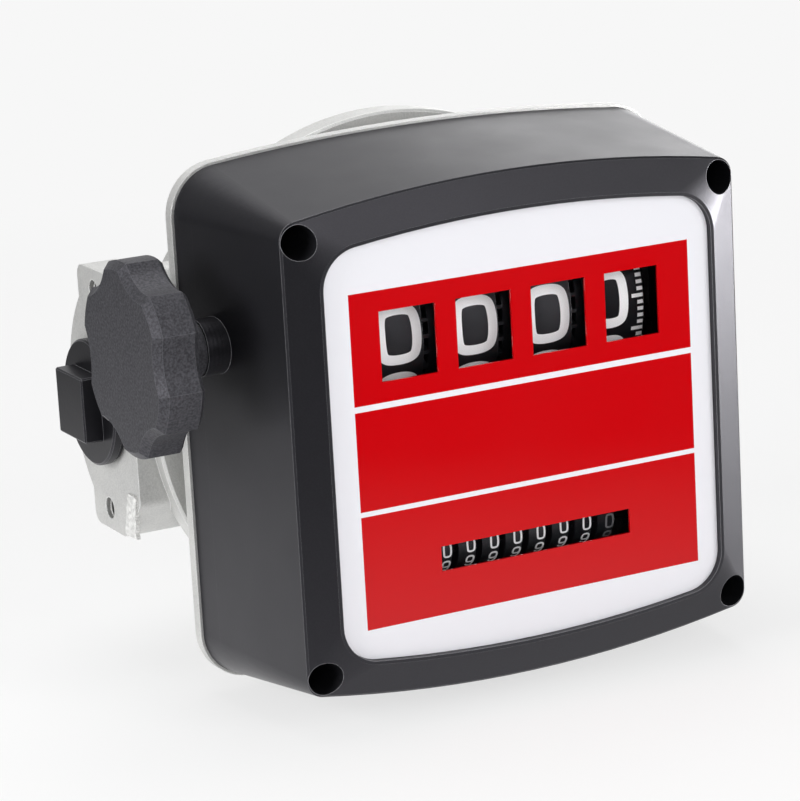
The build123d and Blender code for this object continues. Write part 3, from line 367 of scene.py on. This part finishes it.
def moulded(name, colour, roughness, grain_mm, depth_mm, speckle=None, edge_mm=0.25, edge=None, rings=None):
    """Moulded plastic: one colour, the grain of its mould, soft edges, a painted highlight in the edge colour
    if one is given, and turned rings if any.
    """
    material = bpy.data.materials.new(name)
    tree = new_tree(material)
    where = add_node(tree, "ShaderNodeTexCoord").outputs["Object"]
    grain = add_node(tree, "ShaderNodeTexNoise", {"Scale": 1 / (grain_mm * MM), "Detail": 2.0},
                     {"Vector": where})
    patches = add_node(tree, "ShaderNodeTexNoise", {"Scale": 1 / (PATCH_MM * MM), "Detail": 2.0},
                       {"Vector": where})
    edges = add_node(tree, "ShaderNodeBevel", {"samples": EDGE_SAMPLES, "Radius": edge_mm * MM})
    bump = add_node(tree, "ShaderNodeBump", {"Strength": 0.5, "Distance": depth_mm * MM},
                    {"Height": grain.outputs["Fac"], "Normal": edges.outputs["Normal"]})
    if rings:
        bump = ring_bump(tree, where, bump, *rings)
    tone = two_tones(tree, grain.outputs["Fac"], 0.35, colour, 0.75, speckle or colour)
    # Painted highlight: the edge colour is laid along the edges, as the line of light that a rounded edge
    # would catch.
    if edge:
        tone = add_node(tree, "ShaderNodeMix", {"data_type": "RGBA", 7: srgb(edge)},
                        {0: edge_share(tree, edges).outputs[0], 6: tone}).outputs[2]
    rough = add_node(tree, "ShaderNodeMapRange",
                     {"To Min": roughness - GLOSS_SWING, "To Max": roughness + GLOSS_SWING},
                     {"Value": patches.outputs["Fac"]})
    shader = add_node(tree, "ShaderNodeBsdfPrincipled", {"IOR": 1.5, "Specular Tint": srgb(COOL_GLOSS)},
                      {"Base Color": tone, "Roughness": rough.outputs[0], "Normal": bump.outputs[0]})
    add_node(tree, "ShaderNodeOutputMaterial", links={"Surface": shader.outputs[0]})
    return material


# %% The plastics and rubbers
BOSS_RINGS = (-88.0, -81.5, 1.3, 0.012)
HUB_RINGS = (-96.4, -86.6, 1.3, 0.03)
# The edge colours of the housing, the knob and the plug are painted highlights along their edges.
housing_abs = moulded("moulded_abs_black", "#17171A", 0.4, 0.45, 0.05, speckle="#1E1E21", edge_mm=0.22,
                      edge="#9A9A9E", rings=BOSS_RINGS)
knob_nylon = moulded("grained_nylon_grey", "#29292C", 0.55, 0.7, 0.14, speckle="#4A4A4E", edge_mm=0.25,
                     edge="#5E5E62", rings=HUB_RINGS)
plug_pe = moulded("moulded_polyethylene_black", "#0F0F12", 0.4, 1.2, 0.06, edge_mm=0.22, edge="#76767A")
drum_acetal = moulded("drum_acetal_black", "#131417", 0.4, 0.4, 0.02, speckle="#1A1B1E", edge_mm=0.2)
white_acetal = moulded("acetal_natural", "#C9C8C1", 0.45, 0.6, 0.02, edge_mm=0.1)
chamber_pps = moulded("chamber_plastic_grey", "#2E2E30", 0.5, 0.5, 0.02)
nitrile = moulded("nitrile_rubber", "#0C0C0D", 0.7, 0.6, 0.03)
print("plastics and rubbers: 7")


# %% [markdown]
# ## Steel and bronze
#
# Shafts, screws and plates are plain or zinc-plated steel, turned or stamped from sheet. Their gloss is
# uneven along fine tool marks, so the roughness changes with a noise that is about a millimetre wide. The
# spindle bush is sintered bronze: a warm metal with open pores that hold oil.


# %% Plain metals
MARK_DEPTH_MM = 0.02


def worked_metal(name, colour, mark_mm, smooth, dull):
    """A machined or sintered metal whose roughness wanders between two values over its tool marks
    or pores.
    """
    material = bpy.data.materials.new(name)
    tree = new_tree(material)
    where = add_node(tree, "ShaderNodeTexCoord").outputs["Object"]
    marks = add_node(tree, "ShaderNodeTexNoise", {"Scale": 1 / (mark_mm * MM), "Detail": 3.0},
                     {"Vector": where})
    rough = add_node(tree, "ShaderNodeMapRange", {"To Min": smooth, "To Max": dull},
                     {"Value": marks.outputs["Fac"]})
    bump = add_node(tree, "ShaderNodeBump", {"Strength": 0.3, "Distance": MARK_DEPTH_MM * MM},
                    {"Height": marks.outputs["Fac"]})
    shader = add_node(tree, "ShaderNodeBsdfPrincipled", {"Base Color": srgb(colour), "Metallic": 1.0},
                      {"Roughness": rough.outputs[0], "Normal": bump.outputs[0]})
    add_node(tree, "ShaderNodeOutputMaterial", links={"Surface": shader.outputs[0]})
    return material


turned_steel = worked_metal("turned_steel", "#B8BABC", 1.0, 0.25, 0.42)
zinc_plate = worked_metal("zinc_plated_steel", "#C4C6C8", 1.5, 0.22, 0.36)
bronze = worked_metal("sintered_bronze", "#B08A50", 0.6, 0.35, 0.6)
print("metals: 3")

# %% [markdown]
# ## Clear lens
#
# A flat acrylic pane lies behind the printed plate. Nothing bright stands in front of the meter, so the
# pane shows no reflection and the windows look open. It is nearly transparent, with only a trace of gloss
# left.

# %% Clear acrylic
HAZE_MM = 25
clear_lens = bpy.data.materials.new("clear_acrylic")
tree = new_tree(clear_lens)
where = add_node(tree, "ShaderNodeTexCoord").outputs["Object"]
haze = add_node(tree, "ShaderNodeTexNoise", {"Scale": 1 / (HAZE_MM * MM)}, {"Vector": where})
rough = add_node(tree, "ShaderNodeMapRange", {"To Min": 0.03, "To Max": 0.08}, {"Value": haze.outputs["Fac"]})
pane = add_node(tree, "ShaderNodeBsdfPrincipled", {"Base Color": srgb("#0A0A0B"), "Alpha": 0.02, "IOR": 1.49},
                {"Roughness": rough.outputs[0]})
add_node(tree, "ShaderNodeOutputMaterial", links={"Surface": pane.outputs[0]})
print("made", clear_lens.name)


# %% [markdown]
# ## Printed face
#
# The face is a thin polycarbonate plate, printed in red over white and left glossy. Two white lines part
# the red panel into three. The print follows the plate's own coordinates: each band of colour is a
# comparison of a coordinate with a size in millimetres, and bands are multiplied and subtracted like
# stencils. The fields between the lines stay bare red.

# %% Stencils for the print
RED_LEFT, RED_RIGHT, RED_BOTTOM, RED_TOP = -56.3, 57.6, -52.7, 47.9
UPPER_LINE, LOWER_LINE = (12.9, 14.7), (-18.4, -16.9)
WHITE_INK, RED_INK = "#E9E9EE", "#C4020A"
BANDS = (
    ("X", MIDDLE_X + RED_LEFT, MIDDLE_X + RED_RIGHT),
    ("Z", RED_BOTTOM, RED_TOP),
    ("Z", *UPPER_LINE),
    ("Z", *LOWER_LINE),
)

face_print = bpy.data.materials.new("printed_polycarbonate")
tree = new_tree(face_print)
where = add_node(tree, "ShaderNodeTexCoord").outputs["Object"]
parts = add_node(tree, "ShaderNodeSeparateXYZ", links={0: where})
stencils = [add_node(tree, "ShaderNodeMath",
                     {"operation": "COMPARE", 1: (low + high) / 2 * MM, 2: (high - low) / 2 * MM},
                     {0: parts.outputs[way]}).outputs[0] for way, low, high in BANDS]
panel = add_node(tree, "ShaderNodeMath", {"operation": "MULTIPLY"}, {0: stencils[0], 1: stencils[1]})
lines = add_node(tree, "ShaderNodeMath", {"operation": "MAXIMUM"}, {0: stencils[2], 1: stencils[3]})
red = add_node(tree, "ShaderNodeMath", {"operation": "SUBTRACT"}, {0: panel.outputs[0], 1: lines.outputs[0]})
print("red panel", round(RED_RIGHT - RED_LEFT, 1), "by", round(RED_TOP - RED_BOTTOM, 1), "mm")

# %% Printed polycarbonate
PEEL_MM, PEEL_DEPTH_MM, SHEEN_MM = 6, 0.02, 35
ink = add_node(tree, "ShaderNodeMix",
               {"data_type": "RGBA", "clamp_factor": True, 6: srgb(WHITE_INK), 7: srgb(RED_INK)},
               {0: red.outputs[0]})
orange_peel = add_node(tree, "ShaderNodeTexNoise", {"Scale": 1 / (PEEL_MM * MM), "Detail": 1.0},
                       {"Vector": where})
sheen = add_node(tree, "ShaderNodeTexNoise", {"Scale": 1 / (SHEEN_MM * MM)}, {"Vector": where})
rough = add_node(tree, "ShaderNodeMapRange", {"To Min": 0.08, "To Max": 0.13},
                 {"Value": sheen.outputs["Fac"]})
bump = add_node(tree, "ShaderNodeBump", {"Strength": 0.15, "Distance": PEEL_DEPTH_MM * MM},
                {"Height": orange_peel.outputs["Fac"]})
plate = add_node(tree, "ShaderNodeBsdfPrincipled", {"IOR": 1.5},
                 {"Base Color": ink.outputs[2], "Roughness": rough.outputs[0], "Normal": bump.outputs[0]})
add_node(tree, "ShaderNodeOutputMaterial", links={"Surface": plate.outputs[0]})
print("made", face_print.name)


# %% [markdown]
# ## Numeral ink
#
# The numerals are hot-stamped in a white foil with a satin skin, which turns grey where the drum curves
# away from the light. The last wheel of the totaliser counts tenths and has grey numerals.


# %% Numeral inks
DRAG_MM = 1.2


def foil(name, colour):
    """Hot-stamped foil: satin, with the faint drag marks of stamping."""
    material = bpy.data.materials.new(name)
    tree = new_tree(material)
    where = add_node(tree, "ShaderNodeTexCoord").outputs["Object"]
    drag = add_node(tree, "ShaderNodeTexNoise", {"Scale": 1 / (DRAG_MM * MM), "Detail": 2.0},
                    {"Vector": where})
    rough = add_node(tree, "ShaderNodeMapRange", {"To Min": 0.35, "To Max": 0.5},
                     {"Value": drag.outputs["Fac"]})
    shader = add_node(tree, "ShaderNodeBsdfPrincipled", {"Base Color": srgb(colour)},
                      {"Roughness": rough.outputs[0]})
    add_node(tree, "ShaderNodeOutputMaterial", links={"Surface": shader.outputs[0]})
    return material


white_foil = foil("numeral_foil_white", "#FDFDFF")
grey_foil = foil("numeral_foil_grey", "#8C8C90")
print("made", white_foil.name, "and", grey_foil.name)

# %% [markdown]
# ## Numerals: the strokes
#
# Each numeral is drawn as a sign-maker draws it, by the line that the middle of a broad pen follows. The
# points steer a smooth spline inside a box from -1 to 1, and a point that is given twice makes a corner. A
# font would be quicker, but these numerals are wide and squarish, and strokes keep one width when the
# shape is stretched. The nine is the six turned upside down.

# %% Strokes of the numerals
ZERO = [(True, [(.68, 1), (1, .66), (1, -.66), (.68, -1), (-.68, -1), (-1, -.66), (-1, .66), (-.68, 1)])]
ONE = [(False, [(-.45, .55), (.15, 1), (.15, 1), (.15, -1)])]
TWO = [(False, [(-.95, .5), (-.95, 1), (.95, 1), (1, .1), (-.2, -.35), (-.95, -.6), (-.95, -1), (-.95, -1),
                (1, -1)])]
THREE = [(False, [(-.95, .6), (-.85, 1), (.92, 1), (.92, .06), (-.3, .06)]),
         (False, [(-.1, .06), (1, .06), (1, -1), (-.85, -1), (-1, -.5)])]
FOUR = [(False, [(.35, -1), (.35, 1)]), (False, [(.35, 1), (-1, -.4), (-1, -.4), (1, -.4)])]
FIVE = [(False, [(.85, 1), (-.75, 1), (-.75, 1), (-.85, .1), (-.85, .1), (1.05, .4), (1.05, -1), (-.85, -1),
                 (-1, -.6)])]
SIX = [(False, [(.88, .6), (.7, 1), (-1, 1), (-1, -.3)]),
       (True, [(.55, .15), (1, -.12), (1, -.72), (.55, -1), (-.55, -1), (-1, -.72), (-1, -.12), (-.55, .15)])]
SEVEN = [(False, [(-1, 1), (1, 1), (1, 1), (-.25, -1)])]
EIGHT = [(True, [(.5, 1), (.88, .8), (.88, .25), (.5, .05), (-.5, .05), (-.88, .25), (-.88, .8), (-.5, 1)]),
         (True, [(.55, .05), (1, -.15), (1, -.8), (.6, -1), (-.6, -1), (-1, -.8), (-1, -.15), (-.55, .05)])]
NINE = [(closed, [(-x, -y) for x, y in points]) for closed, points in SIX]
NUMERALS = (ZERO, ONE, TWO, THREE, FOUR, FIVE, SIX, SEVEN, EIGHT, NINE)
print("numerals drawn:", len(NUMERALS))

# %% [markdown]
# ## Numerals: from strokes to drums
#
# The ten numerals of a drum are set out one above another in a flat strip, with a thin rectangle dragged
# along the strokes. The strip is made a mesh and then laid round the drum: its height becomes an angle and
# its thickness becomes distance from the axis. Where two strokes cross, the second lies a hundredth of a
# millimetre higher, so that no two faces fall together. Bending the strip is better than projecting it,
# which would thin the numerals at the top and bottom of the drum.

# %% Flat strips
INK_UNDER, INK_OVER, INK_STEP = -0.03, 0.05, 0.01
WELD = 0.001 * MM
CREASE = math.radians(30)


def flat_pen(width):
    """The outline that is dragged along a stroke: a rectangle, partly sunk in the drum."""
    data = bpy.data.curves.new("pen", "CURVE")
    outline = data.splines.new("POLY")
    outline.points.add(3)
    corners = ((-width / 2, INK_UNDER), (width / 2, INK_UNDER), (width / 2, INK_OVER), (-width / 2, INK_OVER))
    for point, (across, up) in zip(outline.points, corners):
        point.co = (across * MM, up * MM, 0, 1)
    outline.use_cyclic_u = True
    pen = bpy.data.objects.new("pen", data)
    bpy.context.scene.collection.objects.link(pen)
    return pen


def strip_mesh(name, strokes, pen_width, detail):
    """A flat mesh of strokes. Each is (closed, smooth, points), and a point is (across, along, up) in mm."""
    pen = flat_pen(pen_width)
    data = bpy.data.curves.new(name, "CURVE")
    data.dimensions = "3D"
    data.twist_mode = "Z_UP"
    data.bevel_mode = "OBJECT"
    data.bevel_object = pen
    data.use_fill_caps = True
    data.resolution_u = detail
    for closed, smooth, points in strokes:
        spline = data.splines.new("NURBS" if smooth else "POLY")
        spline.points.add(len(points) - 1)
        for point, place in zip(spline.points, points):
            point.co = (*(value * MM for value in place), 1)
        spline.use_cyclic_u = closed
        if smooth:
            spline.order_u = 3
            spline.use_endpoint_u = not closed
    piece = bpy.data.objects.new(name, data)
    bpy.context.scene.collection.objects.link(piece)
    bpy.ops.object.select_all(action="DESELECT")
    piece.select_set(True)
    bpy.context.view_layer.objects.active = piece
    bpy.ops.object.convert(target="MESH")
    bpy.data.objects.remove(pen)
    return bpy.context.object


# %% Round the drum
def wrap(piece, centre, radius):
    """Lay a flat strip round a drum: along becomes an angle, and up becomes distance from the axis."""
    for vertex in piece.data.vertices:
        across, along, up = vertex.co
        angle, arm = along / (radius * MM), radius * MM + up
        vertex.co = centre + Vector((across, -arm * math.cos(angle), arm * math.sin(angle)))
    bpy.ops.object.mode_set(mode="EDIT")
    bpy.ops.mesh.select_all(action="SELECT")
    bpy.ops.mesh.remove_doubles(threshold=WELD)
    bpy.ops.mesh.normals_make_consistent(inside=False)
    bpy.ops.object.mode_set(mode="OBJECT")
    bpy.ops.object.shade_smooth_by_angle(angle=CREASE)


def stamp(name, body, finish, centre, radius, strokes, pen_width, detail):
    """Strokes as a thin raised print on a drum, which rides on that drum's body."""
    piece = strip_mesh(name, strokes, pen_width, detail)
    wrap(piece, centre, radius)
    piece.data.materials.append(finish)
    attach(piece, body)
    return piece


def ring_of_numerals(offset, first, pitch, half_width, half_height):
    """The strokes of ten numerals, the zero's middle at offset across and first along, the others
    above it.
    """
    strokes = []
    for place, numeral in enumerate(NUMERALS):
        for layer, (closed, points) in enumerate(numeral):
            strokes.append((closed, True, [(offset + x * half_width, first + place * pitch + y * half_height,
                                            layer * INK_STEP) for x, y in points]))
    return strokes


# %% [markdown]
# ## Numerals of the large register
#
# Each large wheel carries ten numerals of 18 mm. They don't stand quite level with each other, as on a
# real register at rest, where every wheel stops within its own play. The units wheel has narrower
# numerals, to make room for a scale of a hundred marks at its right edge, with a longer mark at every
# fifth.

# %% Large numerals
WHEEL_AXIS_Y, WHEEL_AXIS_Z = -71.4, 29.5
WHEEL_R, WHEEL_PITCH = 32.75, 25.1
NUMERAL_STEP = 2 * math.pi * WHEEL_R / 10
BIG_PEN, BIG_HALF_HEIGHT, BIG_STEPS = 3.05, 7.5, 8
BIG_ROWS = (
    # offset of the zero from the wheel's middle, its height along the drum, half its width
    (-2.4, 1.9, 4.55),
    (0.8, 0.6, 5.9),
    (1.3, 1.1, 5.9),
    (1.1, 2.1, 5.9),
)
for number, (offset, along, half_width) in enumerate(BIG_ROWS):
    centre = at(WHEEL_PITCH * (1.5 - number), WHEEL_AXIS_Y, WHEEL_AXIS_Z)
    strokes = ring_of_numerals(offset, along, NUMERAL_STEP, half_width, BIG_HALF_HEIGHT)
    made = stamp(f"wheel_{number + 1}_numerals", f"wheel_{number + 1}", white_foil, centre, WHEEL_R, strokes,
                 BIG_PEN, BIG_STEPS)
    print(made.name, len(made.data.polygons), "faces")

# %% Marks of the units wheel
MARKS, MARK_PEN, MARK_EVERY = 100, 1.15, 5
MARK_RIGHT, MARK_SHORT, MARK_LONG, FIRST_MARK = 8.8, 6.8, 4.9, 1.8
mark_step = 2 * math.pi * WHEEL_R / MARKS
marks = []
for index in range(MARKS):
    left = MARK_LONG if index % MARK_EVERY == 0 else MARK_SHORT
    along = FIRST_MARK + index * mark_step
    marks.append((False, False, [(left, along, 0), (MARK_RIGHT, along, 0)]))
centre = at(WHEEL_PITCH * 1.5, WHEEL_AXIS_Y, WHEEL_AXIS_Z)
made = stamp("wheel_1_marks", "wheel_1", white_foil, centre, WHEEL_R, marks, MARK_PEN, 1)
print(made.name, len(made.data.polygons), "faces")

# %% [markdown]
# ## Numerals of the totaliser
#
# The eight small wheels below never reset. Their numerals are the same strokes with a finer pen, and fewer
# steps in each curve, because they are only five millimetres tall.

# %% Small numerals
TOTAL_AXIS_Y, TOTAL_AXIS_Z, TOTAL_MIDDLE_X = -96.15, -35.6, 1.6
TOTAL_R, TOTAL_PITCH, TOTAL_OFFSET = 9.25, 8.0, 1.34
SMALL_STEP = 2 * math.pi * TOTAL_R / 10
SMALL_PEN, SMALL_HALF_WIDTH, SMALL_HALF_HEIGHT, SMALL_STEPS = 0.62, 1.2, 2.08, 4
TOTAL_ALONG = (-1.2, -0.3, 0.2, -0.25, -0.15, -0.1, 0.25, -0.1)
for number, along in enumerate(TOTAL_ALONG):
    centre = at(TOTAL_MIDDLE_X + TOTAL_PITCH * (3.5 - number), TOTAL_AXIS_Y, TOTAL_AXIS_Z)
    finish = grey_foil if number == 0 else white_foil
    strokes = ring_of_numerals(TOTAL_OFFSET, along, SMALL_STEP, SMALL_HALF_WIDTH, SMALL_HALF_HEIGHT)
    made = stamp(f"total_{number + 1}_numerals", f"total_{number + 1}", finish, centre, TOTAL_R, strokes,
                 SMALL_PEN, SMALL_STEPS)
print("small wheels printed:", len(TOTAL_ALONG), "with", len(made.data.polygons), "faces each")


# %% [markdown]
# ## Screw threads
#
# The port flanges have tapped holes, and the outlet is threaded for a one inch pipe. The CAD holes are
# plain bores. A thread is a small triangle carried round the axis while it advances, which is just what
# the Screw modifier does. The triangle's foot is sunk in the wall of the bore, so that the ridge grows out
# of the metal.


# %% Threads
def close_end(ridge, first):
    """Fill the open triangle at one end of a thread, whose three points follow each other in the mesh."""
    bpy.ops.object.mode_set(mode="EDIT")
    bpy.ops.mesh.select_all(action="DESELECT")
    bpy.ops.object.mode_set(mode="OBJECT")
    for index in range(first, first + 3):
        ridge.data.vertices[index].select = True
    bpy.ops.object.mode_set(mode="EDIT")
    bpy.ops.mesh.edge_face_add()
    bpy.ops.object.mode_set(mode="OBJECT")


def thread(name, mouth, radius, pitch, depth, length, steps, inward):
    """A helical ridge on the wall of a bore along X, from its mouth in the direction inward, +1 or -1."""
    bpy.ops.object.select_all(action="DESELECT")
    bpy.ops.mesh.primitive_circle_add(vertices=3, radius=depth * MM, fill_type="NOTHING", location=mouth)
    ridge = bpy.context.object
    ridge.name = name
    bpy.ops.object.mode_set(mode="EDIT")
    bpy.ops.mesh.select_all(action="SELECT")
    bpy.ops.transform.translate(value=(inward * pitch * MM, -radius * MM, 0))
    bpy.ops.object.mode_set(mode="OBJECT")
    screw = ridge.modifiers.new("thread", "SCREW")
    screw.axis = "X"
    screw.screw_offset = inward * pitch * MM
    screw.iterations = int(length / pitch)
    screw.steps = screw.render_steps = steps
    bpy.ops.object.modifier_apply(modifier="thread")
    bpy.ops.object.transform_apply(location=True, rotation=False, scale=False)
    bpy.ops.object.mode_set(mode="EDIT")
    bpy.ops.mesh.select_all(action="SELECT")
    bpy.ops.mesh.remove_doubles(threshold=WELD)
    bpy.ops.mesh.normals_make_consistent(inside=False)
    bpy.ops.object.mode_set(mode="OBJECT")
    for first in (0, len(ridge.data.vertices) - 3):
        close_end(ridge, first)
    ridge.data.materials.append(cast_aluminium)
    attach(ridge, "meter_body")
    return ridge


# %% The threads of the ports
PORT_X, PORT_R, TAP_R, TAP_Z = 89.0, 15.15, 3.4, 35.0
# pitch, depth of the ridge, length along the bore, steps in a turn
TAP_THREAD = (1.25, 0.6, 11.0, 24)
PIPE_THREAD = (2.309, 0.75, 18.0, 48)
for side, side_name in ((-1, "inlet"), (1, "outlet")):
    for end, z in (("lower", -TAP_Z), ("upper", TAP_Z)):
        made = thread(f"{side_name}_{end}_tap_thread", at(side * PORT_X, 0, z), TAP_R, *TAP_THREAD, -side)
print("tap thread:", len(made.data.polygons), "faces")
made = thread("outlet_pipe_thread", at(PORT_X, 0, 0), PORT_R, *PIPE_THREAD, -1)
print("pipe thread:", len(made.data.polygons), "faces")

# %% [markdown]
# ## Gate stub
#
# Where the molten metal entered the mould, the runner was broken off the flange, and a bright, ragged fin
# is left near its lower corner. It is a grid, laid out on the flange's outer face, whose front rim is
# pushed in and out by noise and whose skin is lumpy, and it is thickened at the end. The noise is
# Blender's own, which gives the same numbers every time. Freshly broken metal is paler and cleaner than
# the skin around it.

# %% Broken aluminium
CRYSTAL_MM, CRYSTAL_DEPTH_MM = 0.8, 0.1
broken_aluminium = bpy.data.materials.new("broken_aluminium")
tree = new_tree(broken_aluminium)
where = add_node(tree, "ShaderNodeTexCoord").outputs["Object"]
crystals = add_node(tree, "ShaderNodeTexNoise", {"Scale": 1 / (CRYSTAL_MM * MM), "Detail": 4.0},
                    {"Vector": where})
tone = two_tones(tree, crystals.outputs["Fac"], 0.35, "#DADAD8", 0.65, "#EFEFED")
bump = add_node(tree, "ShaderNodeBump", {"Strength": 0.4, "Distance": CRYSTAL_DEPTH_MM * MM},
                {"Height": crystals.outputs["Fac"]})
metal = add_node(tree, "ShaderNodeBsdfPrincipled", {"Metallic": 0.35, "Roughness": 0.5},
                 {"Base Color": tone, "Normal": bump.outputs[0]})
add_node(tree, "ShaderNodeOutputMaterial", links={"Surface": metal.outputs[0]})
print("made", broken_aluminium.name)

# %% Gate stub
STUB_TOP_Z, STUB_END_Z = -26.4, -40.4
STUB_FRONT, STUB_BACK = (-22.6, -21.6), (-17.0, -12.4)
STUB_THICK, STUB_PROUD = 1.3, 0.5
STUB_NICKS = ((0.8, 18, 3.1), (0.3, 50, 1.7))  # depth in mm, how many along the rim, row of the noise
LUMP_HEIGHT, LUMPS_DOWN, LUMPS_ACROSS, LUMP_ROW = 0.35, 9, 5, 7.7

bpy.ops.object.select_all(action="DESELECT")
bpy.ops.mesh.primitive_grid_add(x_subdivisions=44, y_subdivisions=20, size=2)
stub = bpy.context.object
stub.name = "gate_stub"
for vertex in stub.data.vertices:
    down, forward = (vertex.co.x + 1) / 2, (vertex.co.y + 1) / 2
    front, back = (ends[0] + (ends[1] - ends[0]) * down for ends in (STUB_FRONT, STUB_BACK))
    for depth, count, row in STUB_NICKS:
        front += depth * noise.noise(Vector((down * count, row, 0)))
    lump = LUMP_HEIGHT * (0.5 + noise.noise(Vector((down * LUMPS_DOWN, forward * LUMPS_ACROSS, LUMP_ROW))))
    y = back + (front - back) * forward
    z = STUB_TOP_Z + (STUB_END_Z - STUB_TOP_Z) * down
    vertex.co = at(-PORT_X + STUB_THICK / 2 - STUB_PROUD - lump, y, z)
solid = stub.modifiers.new("thickness", "SOLIDIFY")
solid.thickness = STUB_THICK * MM
solid.offset = 0
bpy.ops.object.modifier_apply(modifier="thickness")
bpy.ops.object.mode_set(mode="EDIT")
bpy.ops.mesh.select_all(action="SELECT")
bpy.ops.mesh.normals_make_consistent(inside=False)
bpy.ops.object.mode_set(mode="OBJECT")
bpy.ops.object.shade_smooth_by_angle(angle=CREASE)
stub.data.materials.append(broken_aluminium)
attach(stub, "meter_body")
print("gate stub:", len(stub.data.polygons), "faces")

# %% [markdown]
# ## Hand the finishes to the parts
#
# Every part of the frame gets the material that the real one is made of. The parts inside the housing and
# the pot get theirs too, because the finished model can be opened and looked into.

# %% Finishes
finishes = {
    "body_casting": cast_aluminium, "chamber_cover": cast_aluminium, "register_cover": housing_abs,
    "reset_knob": knob_nylon, "inlet_plug": plug_pe, "face_plate": face_print, "window_lens": clear_lens,
    "cover_seal": nitrile, "outlet_seal": nitrile, "plug_washer": nitrile, "front_chamber": chamber_pps,
    "rear_chamber": chamber_pps, "nutating_disc": chamber_pps, "drive_crank": chamber_pps,
    "spindle_bush": bronze, "lay_gear": white_acetal, "crown_wheel": white_acetal,
    "cross_shaft": white_acetal,
    "litre_idler": white_acetal, "total_idler": white_acetal, "cover_screws": zinc_plate,
    "housing_screws": zinc_plate, "gear_bridge": zinc_plate, "side_plate_left": zinc_plate,
    "side_plate_right": zinc_plate,
}
for name, part in nodes.items():
    if name in finishes:
        finish = finishes[name]
    elif name.startswith(("number_wheel", "total_wheel")):
        finish = drum_acetal
    elif name.startswith(("transfer_pinion", "total_pinion")):
        finish = white_acetal
    else:
        finish = turned_steel
    part.data.materials.clear()
    part.data.materials.append(finish)
print("finished", len(nodes), "parts")

# %% [markdown]
# ## Finish
#
# The view transform is set to Standard, and the box of the CAD model is printed.

# %% Finish
bpy.context.scene.view_settings.view_transform = "Standard"
print("CAD box", [list(corner) for corner in cad_box])
